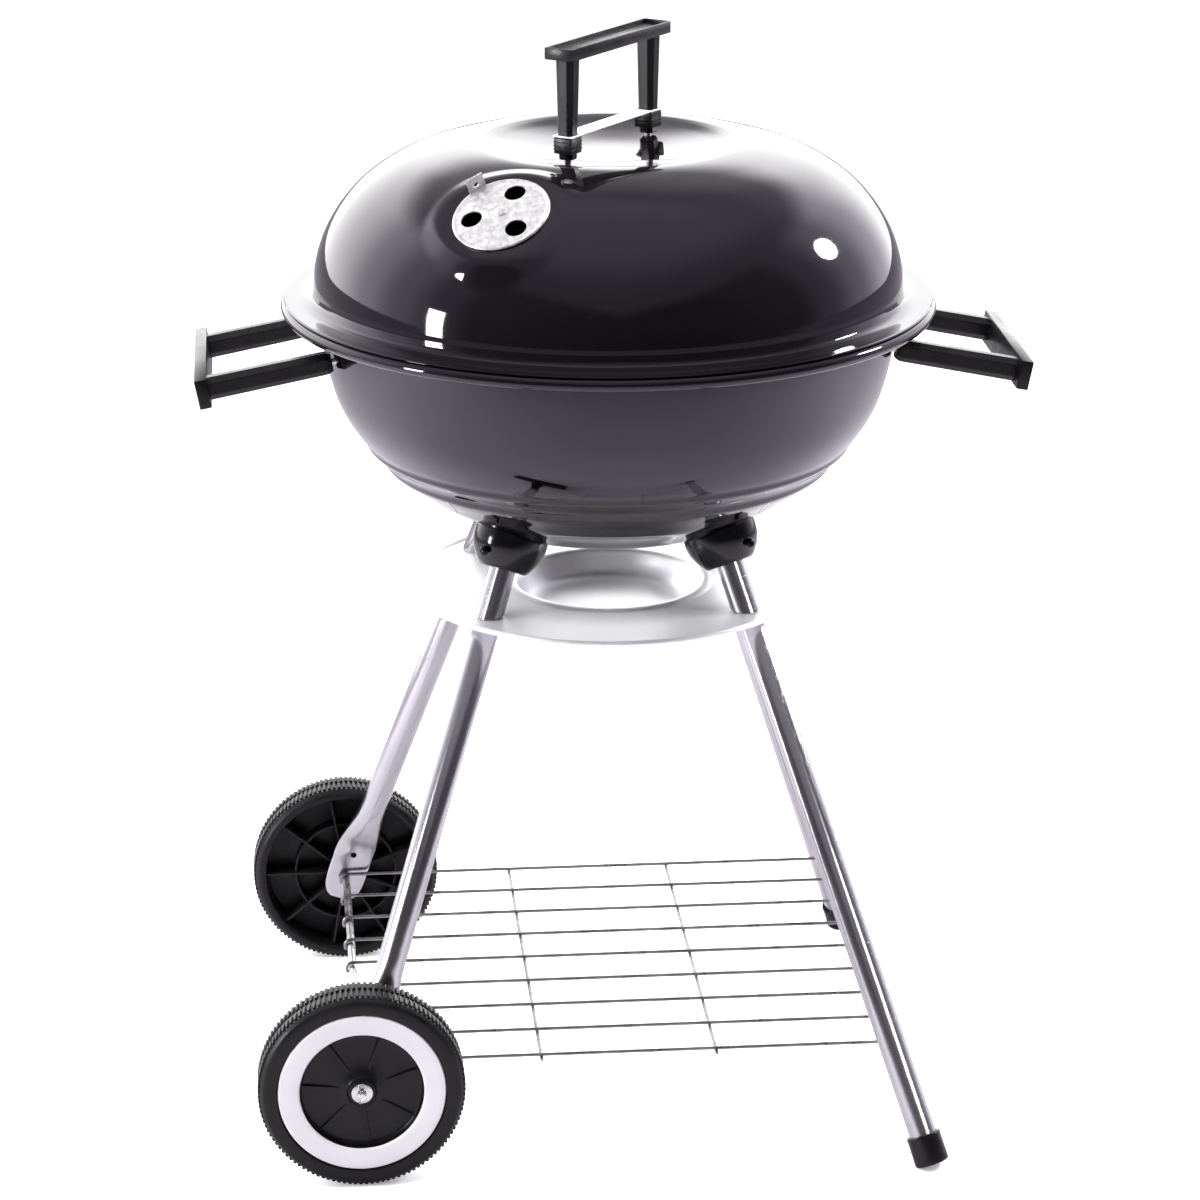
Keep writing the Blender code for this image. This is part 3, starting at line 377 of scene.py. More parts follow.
def aimed(origin, direction):
    turn = Vector(direction).to_track_quat("Z", "Y").to_matrix().to_4x4()
    return Matrix.Translation(Vector(origin)) @ turn


def cylinder(bm, start, end, radius, segments):
    length = (Vector(end) - Vector(start)).length
    round_off = min(radius * 0.12, 0.0004)
    profile = [(0.0, 0.0), (radius - round_off, 0.0), (radius, round_off),
               (radius, length - round_off), (radius - round_off, length), (0.0, length)]
    revolve(bm, profile, segments, aimed(start, Vector(end) - Vector(start)))


def loft(bm, sections, caps=True):
    rings = [[bm.verts.new(p) for p in section] for section in sections]
    skin(bm, rings, closed=False)
    if caps:
        bm.faces.new(rings[0])
        bm.faces.new(rings[-1])


def sweep(bm, points, radius, sides):
    """Round wire along a line, its frame carried from point to point."""
    points = [Vector(p) for p in points]
    sections = []
    axis = (points[1] - points[0]).normalized()
    across = axis.orthogonal().normalized()
    for i, point in enumerate(points):
        tangent = (points[min(i + 1, len(points) - 1)] - points[max(i - 1, 0)]).normalized()
        across = (across - tangent * across.dot(tangent)).normalized()
        other = tangent.cross(across)
        sections.append([point + (across * math.cos(a) + other * math.sin(a)) * radius
                         for a in (2 * math.pi * k / sides for k in range(sides))])
    loft(bm, sections)


def soft_box(bm, size, place, edge, steps=2):
    made = bmesh.ops.create_cube(bm, size=1.0, matrix=place @ Matrix.Diagonal((*size, 1.0)))
    edges = {e for v in made["verts"] for e in v.link_edges}
    bmesh.ops.bevel(bm, geom=list(edges), offset=edge, segments=steps, profile=0.5, affect="EDGES")


def to_object(name, bm, material=None, crease=38.0):
    bmesh.ops.recalc_face_normals(bm, faces=bm.faces)
    mesh = bpy.data.meshes.new(name)
    bm.to_mesh(mesh)
    bm.free()
    obj = bpy.data.objects.new(name, mesh)
    bpy.context.scene.collection.objects.link(obj)
    if material:
        mesh.materials.append(material)
    shade(mesh, crease)
    return obj


def shade(mesh, crease):
    for face in mesh.polygons:
        face.use_smooth = True
    mesh.set_sharp_from_angle(angle=math.radians(crease))


def carve(obj, cutter, operation="DIFFERENCE", crease=38.0):
    """One exact boolean, baked into the mesh."""
    modifier = obj.modifiers.new("carve", "BOOLEAN")
    modifier.operation = operation
    modifier.solver = "EXACT"
    modifier.object = cutter
    bpy.context.view_layer.update()
    mesh = bpy.data.meshes.new_from_object(obj.evaluated_get(bpy.context.evaluated_depsgraph_get()))
    obj.modifiers.clear()
    mesh.materials.clear()
    for material in obj.data.materials:
        mesh.materials.append(material)
    for face in mesh.polygons:
        face.material_index = 0
    obj.data = mesh
    bpy.data.objects.remove(cutter, do_unlink=True)
    shade(obj.data, crease)
    return obj


def publish(obj, body, node):
    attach(obj, body)
    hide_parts(node)
    return obj


def piece(name, bm, body, node, slot, crease=38.0):
    return publish(to_object(name, bm, MATERIALS[slot], crease), body, node)


# ---------------- kettle
def bowl_outer():
    wall = through(BOWL_WALL, 7)
    return (wall + through(BOWL_STEP_1, 3) + through(BOWL_STEP_2, 4) + through(BOWL_FOOT, 2)
            + [(0.0570, BOWL_FLOOR_Z), (0.0, BOWL_FLOOR_Z)])


def vent_points(start):
    turns = [start + k * 2 * math.pi / 3 for k in range(3)]
    return [(VENT_RING_R * math.cos(a), VENT_RING_R * math.sin(a)) for a in turns]


def drills(points, radius, low, high, place=Matrix.Identity(4)):
    bm = bmesh.new()
    for x, y in points:
        revolve(bm, [(0.0, low), (radius, low), (radius, high), (0.0, high)], 40,
                place @ Matrix.Translation((x, y, 0.0)))
    return to_object("drills", bm)


def build_bowl():
    outer = bowl_outer()
    inner = beside(outer, -SHELL)
    inner[-1] = Vector((0.0, BOWL_FLOOR_Z + SHELL))
    inner = [p for p in inner if p.x > 1e-4 or p is inner[-1]]
    bead = []
    for k in range(19):
        a = math.radians(165.0 - 295.0 * k / 18)
        bead.append((RIM_R - BEAD_R + BEAD_R * math.cos(a), BEAD_Z + BEAD_R * math.sin(a)))
    shoulder = [(0.2092, 0.5890), (0.2110, BEAD_Z)]
    under = [(0.2120, BEAD_Z - SHELL), (0.2096, 0.5876)]
    path = list(reversed(inner)) + shoulder + bead + under + outer
    bm = bmesh.new()
    revolve(bm, path, FINE)
    bowl = to_object("bowl_shell", bm, MATERIALS["enamel"])
    carve(bowl, drills(vent_points(ASH_VENT_START), VENT_R, 0.42, 0.44))
    publish(bowl, "stand", "bowl")


def damper_place():
    az = LID_DAMPER_AZ
    slope = LID_DAMPER_SLOPE
    normal = Vector((math.cos(az) * math.sin(slope), math.sin(az) * math.sin(slope), math.cos(slope)))
    tangent = Vector((-math.sin(az), math.cos(az), 0.0))
    place = Matrix((tangent, normal.cross(tangent), normal)).transposed().to_4x4()
    place.translation = Vector((LID_DAMPER_R * math.cos(az), LID_DAMPER_R * math.sin(az), LID_DAMPER_Z))
    place.translation -= normal * SEAT_SINK
    return place


def cap_drop(radius):
    """How far the shallow cap under the damper falls below its middle."""
    return radius * radius / (2 * DAMPER_CURVE)


def press_seat(mesh):
    """Press the dome to a shallow cap where the damper turns, fading into the dome around it."""
    place = damper_place()
    inverse = place.inverted()
    for v in mesh.vertices:
        p = inverse @ v.co
        reach = math.hypot(p.x, p.y)
        if reach > FLAT_FADE or abs(p.z) > 0.03:
            continue
        seat = PAD_RISE - cap_drop(min(reach, FLAT_R))
        if dome_gap(v.co) < -SHELL / 2:
            seat -= SHELL
        t = min(max((reach - FLAT_R) / (FLAT_FADE - FLAT_R), 0.0), 1.0)
        t = t * t * (3 - 2 * t)
        p.z = seat * (1 - t) + p.z * t
        v.co = place @ p


def dome_gap(point):
    """Signed height of a point above the dome's outer line, near enough for telling skins apart."""
    radius = math.hypot(point.x, point.y)
    for (r0, z0), (r1, z1) in zip(LID_DOME, LID_DOME[1:]):
        if r0 <= radius <= r1:
            return (point.z - (z0 + (z1 - z0) * (radius - r0) / (r1 - r0))) * 0.85
    return 0.0


def build_lid():
    outer = through(LID_DOME, 12)
    inner = beside(outer, -SHELL)
    inner[0] = Vector((0.0, LID_DOME[0][1] - SHELL))
    for p in inner:
        p.y = max(p.y, LID_SEAT_Z)
    edge = [(0.2314, 0.5970), (0.2322, 0.5967), (0.2325, 0.5961),
            (0.2322, 0.5955), (0.2315, LID_SEAT_Z)]
    last = max(i for i, p in enumerate(inner) if p.y > LID_SEAT_Z)
    path = outer + edge + [(0.2190, LID_SEAT_Z)] + list(reversed(inner[:last + 1]))
    bm = bmesh.new()
    revolve(bm, path, LID_FINE)
    lid = to_object("lid_shell", bm, MATERIALS["enamel"])
    press_seat(lid.data)
    carve(lid, drills(vent_points(LID_VENT_START), VENT_R, -0.02, 0.02, damper_place()))
    publish(lid, "lid_body", "lid")


def damper_mesh(name, place, tab_angle, vent_start, curved, body, node):
    """Pressed disc with a rolled lip, three vents and a bent tab with a small hole."""
    lip = through([(DISC_R - 0.0004, 0.0), (DISC_R, 0.0005), (DISC_R, DAMPER_LIP - 0.0009),
                   (DISC_R - 0.0006, DAMPER_LIP - 0.0003), (DISC_R - 0.0018, DAMPER_LIP - 0.0006),
                   (DISC_R - 0.0030, DAMPER_T + 0.0001), (DISC_R - 0.0044, DAMPER_T)], 4)
    flat = [(DISC_R - 0.0044 - 0.0032 * k, DAMPER_T) for k in range(1, 8)]
    dish = [(0.0062, DAMPER_T), (0.0056, DAMPER_T + 0.0003), (0.0050, DAMPER_T + 0.0003)]
    under = [(0.0025 + 0.0050 * k, 0.0) for k in range(7)]
    hole = 0.0025
    bm = bmesh.new()
    revolve(bm, under + lip + flat + dish + [(hole, DAMPER_T + 0.0003)], 96)
    if curved:
        for v in bm.verts:
            v.co.z -= cap_drop(math.hypot(v.co.x, v.co.y))
    disc = to_object(name, bm, MATERIALS["aluminium"])
    disc.data.transform(place)
    carve(disc, drills(vent_points(vent_start), VENT_R, -0.01, 0.01, place))
    sunk = cap_drop(DISC_R) if curved else 0.0
    turn = place @ Matrix.Rotation(tab_angle, 4, "Z") @ Matrix.Translation((DISC_R - 0.0005, 0.0, -sunk))
    bm = bmesh.new()
    soft_box(bm, (0.0012, 0.0130, 0.0126), turn @ Matrix.Translation((0.0, 0.0, 0.0069)), 0.0005)
    tab = to_object("tab", bm)
    bm = bmesh.new()
    cylinder(bm, turn @ Vector((-0.01, 0.0, 0.0062)), turn @ Vector((0.01, 0.0, 0.0062)), 0.0020, 24)
    carve(tab, to_object("tab_hole", bm))
    carve(disc, tab, "UNION")
    publish(disc, body, node)


def rivet_mesh(name, place, depth, body, node):
    head = through([(0.0, 0.0019), (0.0018, 0.0017), (0.0034, 0.0011), (0.0044, 0.0002), (0.0045, 0.0)], 3)
    bm = bmesh.new()
    revolve(bm, head + [(0.0022, 0.0), (0.0022, -depth), (0.0, -depth)], 40, place)
    piece(name, bm, body, node, "aluminium")


def build_dampers():
    place = damper_place()
    lift = Matrix.Translation((0.0, 0.0, PAD_RISE + GAP))
    damper_mesh("lid_damper_disc", place @ lift, LID_TAB_ANGLE, LID_VENT_START, True,
                "lid_damper_body", "lid_damper")
    head = PAD_RISE + 2 * GAP + DAMPER_T
    rivet_mesh("lid_damper_rivet_head", place @ Matrix.Translation((0, 0, head)), head + 0.0052,
               "lid_body", "lid_damper_rivet")
    flip = Matrix.Translation((0.0, 0.0, BOWL_FLOOR_Z)) @ Matrix.Rotation(math.pi, 4, "X")
    damper_mesh("ash_damper_disc", flip @ Matrix.Translation((0, 0, GAP)), ASH_TAB_ANGLE, -ASH_VENT_START,
                False, "ash_damper_body", "ash_damper")
    head = 2 * GAP + DAMPER_T
    rivet_mesh("ash_damper_rivet_head", flip @ Matrix.Translation((0, 0, head)), head + 0.0025,
               "stand", "ash_damper_rivet")


# ---------------- handles
def post_section(width, height, place):
    """Eight-sided post outline with rounded corners."""
    points = []
    hx = width / 2
    hy = height / 2
    cx = width * 0.24
    cy = height * 0.24
    outline = [(hx, -hy + cy), (hx, hy - cy), (hx - cx, hy), (-hx + cx, hy),
               (-hx, hy - cy), (-hx, -hy + cy), (-hx + cx, -hy), (hx - cx, -hy)]
    for i, corner in enumerate(outline):
        before = Vector(outline[i - 1])
        after = Vector(outline[(i + 1) % 8])
        here = Vector(corner)
        for blend in (0.10, 0.03):
            points.append(here.lerp(before, blend))
        for blend in (0.03, 0.10):
            points.append(here.lerp(after, blend))
    return [place @ Vector((p[0], p[1], 0.0)) for p in points]


def turned(x, y, z, angle):
    return Matrix.Translation((x, y, z)) @ Matrix.Rotation(angle, 4, "Z")


def grip(bm, length, width, height, place):
    """Flat bar with a raised rim round a sunk top; local X along the bar, Z out of the top."""
    wall = 0.0021
    sink = 0.0032
    made = bmesh.ops.create_cube(bm, size=1.0, matrix=place @ Matrix.Diagonal((length, width, height, 1.0)))
    up = (place.to_3x3() @ Vector((0.0, 0.0, 1.0))).normalized()
    bm.normal_update()
    faces = {f for v in made["verts"] for f in v.link_faces}
    top = max(faces, key=lambda f: f.calc_center_median().dot(up))
    bmesh.ops.inset_region(bm, faces=[top], thickness=wall)
    pushed = bmesh.ops.extrude_face_region(bm, geom=[top])
    verts = [v for v in pushed["geom"] if isinstance(v, bmesh.types.BMVert)]
    bmesh.ops.translate(bm, verts=verts, vec=-up * sink)
    bmesh.ops.delete(bm, geom=[top], context="FACES_ONLY")
    cube = set(made["verts"]) | set(verts)
    for v in list(cube):
        cube |= {e.other_vert(v) for e in v.link_edges}
    edges = [e for e in bm.edges if e.verts[0] in cube and e.verts[1] in cube and e.is_manifold
             and e.calc_face_angle(0.0) > 0.5]
    bmesh.ops.bevel(bm, geom=edges, offset=0.0005, segments=2, profile=0.5, affect="EDGES")


def post_spot(end):
    """Middle of one of the lid handle's posts."""
    return end * POST_OFFSET * math.cos(GRIP_AZ), end * POST_OFFSET * math.sin(GRIP_AZ)


def build_lid_handle():
    bm = bmesh.new()
    grip(bm, GRIP_LEN, GRIP_W, GRIP_H, turned(0.0, 0.0, GRIP_TOP_Z - GRIP_H / 2, GRIP_AZ))
    for end in (-1, 1):
        x, y = post_spot(end)
        top = GRIP_TOP_Z - GRIP_H + 0.0010
        stations = [(POST_LOW_W - 0.0008, HANDLE_FOOT_Z), (POST_LOW_W, HANDLE_FOOT_Z + 0.0006),
                    (POST_TOP_W, top)]
        loft(bm, [post_section(w, w, turned(x, y, z, GRIP_AZ)) for w, z in stations])
    piece("lid_handle_grip", bm, "lid_body", "lid_handle", "black_plastic", crease=30.0)
    for label, end in ENDS:
        x, y = post_spot(end)
        middle = (SLEEVE_LOW_Z + SLEEVE_TOP_Z) / 2
        height = SLEEVE_TOP_Z - SLEEVE_LOW_Z
        bm = bmesh.new()
        soft_box(bm, (SLEEVE_W, SLEEVE_W, height), turned(x, y, middle, GRIP_AZ), 0.0008, 3)
        for k in range(3):
            z = SLEEVE_LOW_Z + height * (0.28 + 0.22 * k)
            soft_box(bm, (SLEEVE_W + 0.0005, SLEEVE_W + 0.0005, 0.0009), turned(x, y, z, GRIP_AZ), 0.0003, 2)
        piece("lid_handle_collar_" + label, bm, "lid_body", "lid_handle_sleeve_" + label, "black_plastic")


def build_strap():
    """Bright sheet between the posts, with a square eye round each post."""
    low = STRAP_LOW_Z
    span = 2 * POST_OFFSET
    bm = bmesh.new()
    soft_box(bm, (span, STRAP_W, STRAP_T), turned(0, 0, low + STRAP_T / 2, GRIP_AZ), 0.00035, 2)
    strap = to_object("lid_handle_strap_sheet", bm, MATERIALS["tray_steel"])
    for end in (-1, 1):
        x, y = post_spot(end)
        bm = bmesh.new()
        place = turned(x, y, low + STRAP_T / 2, GRIP_AZ)
        soft_box(bm, (STRAP_PAD_W, STRAP_PAD_W, STRAP_T - 0.0001), place, 0.0004, 2)
        carve(strap, to_object("eye", bm), "UNION")
    bm = bmesh.new()
    for end in (-1, 1):
        x, y = post_spot(end)
        width = post_width(low) + 0.0010
        soft_box(bm, (width, width, 0.006), turned(x, y, low, GRIP_AZ), 0.0015, 2)
    carve(strap, to_object("holes", bm))
    publish(strap, "lid_body", "lid_handle_strap")


def post_width(height):
    share = (height - HANDLE_FOOT_Z) / (GRIP_TOP_Z - GRIP_H - HANDLE_FOOT_Z)
    return POST_LOW_W + (POST_TOP_W - POST_LOW_W) * share


def wall_radius(height):
    for (r0, z0), (r1, z1) in zip(BOWL_WALL, BOWL_WALL[1:]):
        if z1 <= height <= z0:
            return r1 + (r0 - r1) * (height - z1) / (z0 - z1)
    return BOWL_WALL[0][0]


def side_root(side, end):
    radius = wall_radius(SIDE_ROOT_Z)
    return Vector((side * math.sqrt(radius ** 2 - SIDE_POST_Y ** 2), end * SIDE_POST_Y, SIDE_ROOT_Z))


def meet_wall(point, direction):
    """Slide a point along a line until it stands just off the bowl's wall."""
    point = point.copy()
    for _ in range(24):
        off = math.hypot(point.x, point.y) - (wall_radius(point.z) + 0.0007)
        heading = (direction.x * point.x + direction.y * point.y) / math.hypot(point.x, point.y)
        point -= direction * (off / heading)
    return point


def build_side_handle(label, side):
    out = Vector((side * math.cos(SIDE_DROOP), 0.0, -math.sin(SIDE_DROOP)))
    half_reach = SIDE_BAR_T / 2 * math.cos(SIDE_DROOP) + SIDE_BAR_H / 2 * math.sin(SIDE_DROOP)
    centre_x = SIDE_OUT_X - half_reach
    root = side_root(side, 1)
    run = (centre_x - abs(root.x)) / math.cos(SIDE_DROOP)
    centre = Vector((side * centre_x, 0.0, SIDE_ROOT_Z - run * math.sin(SIDE_DROOP)))
    along = Vector((0.0, 1.0, 0.0))
    place = Matrix((along, out.cross(along), out)).transposed().to_4x4()
    place.translation = centre
    bm = bmesh.new()
    grip(bm, SIDE_BAR_LEN, SIDE_BAR_H, SIDE_BAR_T, place)
    for end in (-1, 1):
        start = side_root(side, end)
        sections = []
        here = place.copy()
        here.translation = start
        rough_end = post_section(SIDE_POST_W, SIDE_POST_H, here)
        clear = max((meet_wall(p, out) - p).dot(out) for p in rough_end)
        for distance, grow in ((clear, 0.74), (clear + 0.0030, 0.92), (clear + 0.0060, 0.95),
                               (run - SIDE_BAR_T * 0.3, 1.0)):
            here.translation = start + out * distance
            sections.append(post_section(SIDE_POST_W * grow, SIDE_POST_H * grow, here))
        loft(bm, sections)
    piece("side_grip_" + label, bm, "stand", "side_handle_" + label, "black_plastic", crease=30.0)


# ---------------- bolts
def bolt_mesh(name, start, direction, shank, body, node):
    """Hexagon head with a washer face, then the shank."""
    place = aimed(start, direction)
    bm = bmesh.new()
    washer = [(0.0, -0.0004), (0.0055, -0.0004), (0.0055, 0.0), (0.0025, 0.0)]
    revolve(bm, washer + [(0.0025, shank), (0.0, shank)], 36, place)
    head = [(0.0, -0.0028), (0.0038, -0.0028), (0.0046, -0.0024), (0.0046, -0.0003), (0.0, -0.0003)]
    revolve(bm, head, 6, place)
    piece(name, bm, body, node, "steel")


def build_bolts():
    for label, end in ENDS:
        x, y = post_spot(end)
        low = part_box("lid_handle_bolt_" + label)[0].z + 0.0028
        bolt_mesh("lid_bolt_" + label, (x, y, low), (0, 0, 1), HANDLE_FOOT_Z + 0.016 - low,
                  "lid_body", "lid_handle_bolt_" + label)
    for label, side in SIDES:
        for mark, end in ENDS:
            root = side_root(side, end)
            out = Vector((side * math.cos(SIDE_DROOP), 0.0, -math.sin(SIDE_DROOP)))
            name = label + "_" + mark
            bolt_mesh("handle_bolt_" + name, root - out * 0.0055, out, 0.0215, "stand", "side_bolt_" + name)


# ---------------- grates
def build_grate(name, radius, height, bars, node):
    bm = bmesh.new()
    ring = radius - GRATE_WIRE
    turns = [2 * math.pi * k / 10 for k in range(10)]
    profile = [(ring + GRATE_WIRE * math.cos(a), height + GRATE_WIRE * math.sin(a)) for a in turns]
    revolve(bm, profile, 96)
    for k in range(bars):
        offset = ring * (2 * (k + 1) / (bars + 1) - 1)
        half = math.sqrt(ring ** 2 - offset ** 2)
        cylinder(bm, (offset, -half, height), (offset, half, height), GRATE_BAR, 10)
    cylinder(bm, (-ring, 0.0, height - 0.0004), (ring, 0.0, height - 0.0004), GRATE_BAR, 10)
    piece(name, bm, "stand", node, "grate_steel")


# ---------------- legs
def leg_ends(side, end):
    top = Vector((side * LEG_TOP.x, end * LEG_TOP.y, LEG_TOP.z))
    if side < 0:
        return top, Vector((AXLE_X, end * PLATE_Y, AXLE_Z))
    return top, Vector((FOOT.x, end * FOOT.y, FOOT.z))


def at_height(side, end, height):
    top, low = leg_ends(side, end)
    return top + (low - top) * (top.z - height) / (top.z - low.z)


def leg_down(side, end):
    top, low = leg_ends(side, end)
    return (low - top).normalized()


def leg_out(side, end):
    down = leg_down(side, end)
    radial = Vector((down.x, down.y, 0.0)).normalized()
    return (radial - down * radial.dot(down)).normalized()


def leg_ring(side, end, height, radius, count=56, level=None):
    """Ring round a leg; with a level, its points slide along the leg to that height."""
    down = leg_down(side, end)
    out = leg_out(side, end)
    other = down.cross(out)
    centre = at_height(side, end, height)
    ring = []
    for k in range(count):
        a = 2 * math.pi * k / count
        p = centre + (out * math.cos(a) + other * math.sin(a)) * radius
        if level is not None:
            p -= down * ((p.z - level) / down.z)
        ring.append(p)
    return ring


def build_upper_leg(label, side, end):
    bm = bmesh.new()
    low = TRAY_Z + GAP
    sections = [leg_ring(side, end, UPPER_TOP_Z, LEG_R),
                leg_ring(side, end, low + 0.002, LEG_R, level=low + 0.0006),
                leg_ring(side, end, low + 0.002, LEG_R - 0.0005, level=low),
                leg_ring(side, end, low + 0.002, SPIGOT_R, level=low),
                leg_ring(side, end, TRAY_Z - 0.020, SPIGOT_R), leg_ring(side, end, TRAY_Z - 0.0215, 0.0070)]
    loft(bm, sections)
    piece("leg_upper_" + label, bm, "stand", "upper_leg_" + label, "chrome_tube")


def plate_section(centre, half_u, half_w, power, tangent):
    """Rounded section, wide along the frame and thin across it."""
    across = Vector((0.0, 1.0, 0.0))
    thin = (across - tangent * across.dot(tangent)).normalized()
    wide = tangent.cross(thin)
    section = []
    for k in range(64):
        a = 2 * math.pi * k / 64
        c = math.copysign(abs(math.cos(a)) ** power, math.cos(a))
        s = math.copysign(abs(math.sin(a)) ** power, math.sin(a))
        section.append(centre + wide * half_u * c + thin * half_w * s)
    return section


def pressed_leg(side, end):
    """Lower end of a wheel-side leg: round tube pressed to an upright plate."""
    lean = (AXLE_X + LEG_TOP.x) / (AXLE_Z - LEG_TOP.z)

    def on_plate(y, z):
        return Vector((AXLE_X + (z - AXLE_Z) * lean, end * y, z))

    stations = [
        (at_height(side, end, PRESS_Z), LEG_R, LEG_R, 1.00),
        (at_height(side, end, 0.1480), LEG_R, LEG_R, 1.00),
        (on_plate(0.1604, 0.1340), LEG_R * 1.08, LEG_R * 0.88, 0.96),
        (on_plate(0.1660, 0.1210), LEG_R * 1.28, LEG_R * 0.60, 0.88),
        (on_plate(0.1718, 0.1100), LEG_R * 1.45, LEG_R * 0.34, 0.74),
        (on_plate(0.1770, 0.1010), PLATE_W / 2, PLATE_T * 0.55, 0.58),
        (on_plate(0.1802, 0.0930), PLATE_W / 2, PLATE_T / 2, 0.50),
        (on_plate(0.1805, 0.0840), PLATE_W / 2, PLATE_T / 2, 0.50),
        (on_plate(0.1805, 0.0736), PLATE_W / 2, PLATE_T / 2, 0.50),
        (on_plate(0.1805, 0.0640), PLATE_W * 0.46, PLATE_T / 2, 0.50),
        (on_plate(0.1805, 0.0585), PLATE_W * 0.37, PLATE_T * 0.48, 0.50),
        (on_plate(0.1805, 0.0560), PLATE_W * 0.26, PLATE_T * 0.42, 0.50),
    ]
    centres = through([s[0] for s in stations], 4)
    widths = through([(s[1], s[2], s[3]) for s in stations], 4)
    sections = []
    for i, centre in enumerate(centres):
        tangent = (centres[min(i + 1, len(centres) - 1)] - centres[max(i - 1, 0)]).normalized()
        sections.append(plate_section(centre, widths[i][0], widths[i][1], widths[i][2], tangent))
    return sections


def build_lower_leg(label, side, end):
    top = TRAY_Z - TRAY_T - GAP
    low = 0.0085 if side > 0 else PRESS_Z
    bm = bmesh.new()
    head = [leg_ring(side, end, top - 0.002, LEG_R - 0.0005, level=top),
            leg_ring(side, end, top - 0.002, LEG_R, level=top - 0.0006), leg_ring(side, end, low, LEG_R)]
    if side > 0:
        loft(bm, head + [leg_ring(side, end, low - 0.0005, LEG_R - 0.0005)])
        piece("leg_lower_" + label, bm, "stand", "lower_leg_" + label, "chrome_tube")
        return
    pressed = pressed_leg(side, end)
    tube = []
    down = leg_down(side, end)
    for radius, level in ((LEG_R - 0.0005, top), (LEG_R, top - 0.0006)):
        ring = plate_section(at_height(side, end, top - 0.002), radius, radius, 1.0, down)
        tube.append([p - down * ((p.z - level) / down.z) for p in ring])
    loft(bm, tube + pressed)
    leg = to_object("leg_lower_" + label, bm, MATERIALS["chrome_tube"], 45.0)
    y = end * PLATE_Y
    bm = bmesh.new()
    cylinder(bm, (AXLE_X + 0.0063, y - 0.02, AXLE_Z + 0.0190), (AXLE_X + 0.0063, y + 0.02, AXLE_Z + 0.0190),
             0.0025, 24)
    carve(leg, to_object("spare_hole", bm), crease=45.0)
    publish(leg, "stand", "lower_leg_" + label)


def bowl_room():
    """Solid the size of the bowl's outside, a hair larger."""
    outer = beside(bowl_outer(), GAP * 1.5)
    bm = bmesh.new()
    outer[-1].x = 0.0
    revolve(bm, [(0.0, 0.60), (outer[0].x, 0.60)] + outer, 128)
    return to_object("bowl_room", bm)


def build_socket(label, side, end):
    down = leg_down(side, end)
    base = at_height(side, end, SOCKET_LOW_Z)
    body = through([(0.0168, 0.0), (0.0190, 0.0020), (0.0232, 0.0085), (0.0258, 0.0145), (0.0267, 0.0200),
                    (SOCKET_R, 0.0260)], 5)
    lip = [(0.0, 0.0030), (0.0106, 0.0030), (0.0106, 0.0004), (0.0112, 0.0)]
    bm = bmesh.new()
    revolve(bm, lip + body + [(SOCKET_R, 0.0560), (0.0, 0.0560)], 72, aimed(base, -down))
    socket = to_object("socket_" + label, bm, MATERIALS["gloss_black"])
    carve(socket, bowl_room())
    publish(socket, "stand", "leg_socket_" + label)


def socket_screw(label, side, end):
    low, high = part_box("socket_screw_" + label)
    out = leg_out(side, end)
    centre = at_height(side, end, SCREW_Z) + leg_down(side, end) * 0.0060
    reach = max((Vector((x, y, z)) - centre).dot(out) for x in (low.x, high.x) for y in (low.y, high.y)
                for z in (low.z, high.z))
    head = min(reach, 0.0285)
    bm = bmesh.new()
    dome = through([(0.0034, head - 0.0026), (0.0034, head - 0.0019), (0.0029, head - 0.0009),
                    (0.0016, head - 0.0002), (0.0, head)], 3)
    revolve(bm, [(0.0, 0.008), (0.0016, 0.008), (0.0016, head - 0.0026)] + dome, 32,
            aimed(centre, out))
    screw = to_object("screw_" + label, bm, MATERIALS["black_screw"])
    publish(screw, "stand", "socket_screw_" + label)


def build_button(label, side, end):
    centre = at_height(side, end, TRAY_Z) + leg_down(side, end) * 0.0110
    bm = bmesh.new()
    dome = through([(0.0018, LEG_R), (0.0018, LEG_R + 0.0006), (0.0012, LEG_R + 0.0012),
                    (0.0, LEG_R + 0.0014)], 3)
    revolve(bm, [(0.0, 0.0085), (0.0018, 0.0085)] + dome, 28, aimed(centre, leg_out(side, end)))
    piece("button_" + label, bm, "stand", "leg_button_" + label, "steel")


def build_foot_cap(label, end):
    down = leg_down(1, end)
    base = at_height(1, end, 0.0025)
    side = through([(CAP_R - 0.0010, 0.0), (CAP_R - 0.0002, 0.0006), (CAP_R, 0.0018), (CAP_R, 0.0060)], 3)
    rim = through([(CAP_R, CAP_LEN - 0.0030), (CAP_R, CAP_LEN - 0.0010), (CAP_R - 0.0006, CAP_LEN - 0.0001),
                   (CAP_R - 0.0014, CAP_LEN)], 3)
    bm = bmesh.new()
    revolve(bm, [(0.0, 0.0)] + side + rim + [(LEG_R + GAP, CAP_LEN),
            (LEG_R + GAP, 0.0050), (0.0, 0.0050)], 64, aimed(base, -down))
    for v in bm.verts:
        v.co.z = max(v.co.z, 0.0)
    piece("foot_cap_" + label + "_moulding", bm, "stand", "foot_cap_" + label, "black_plastic")


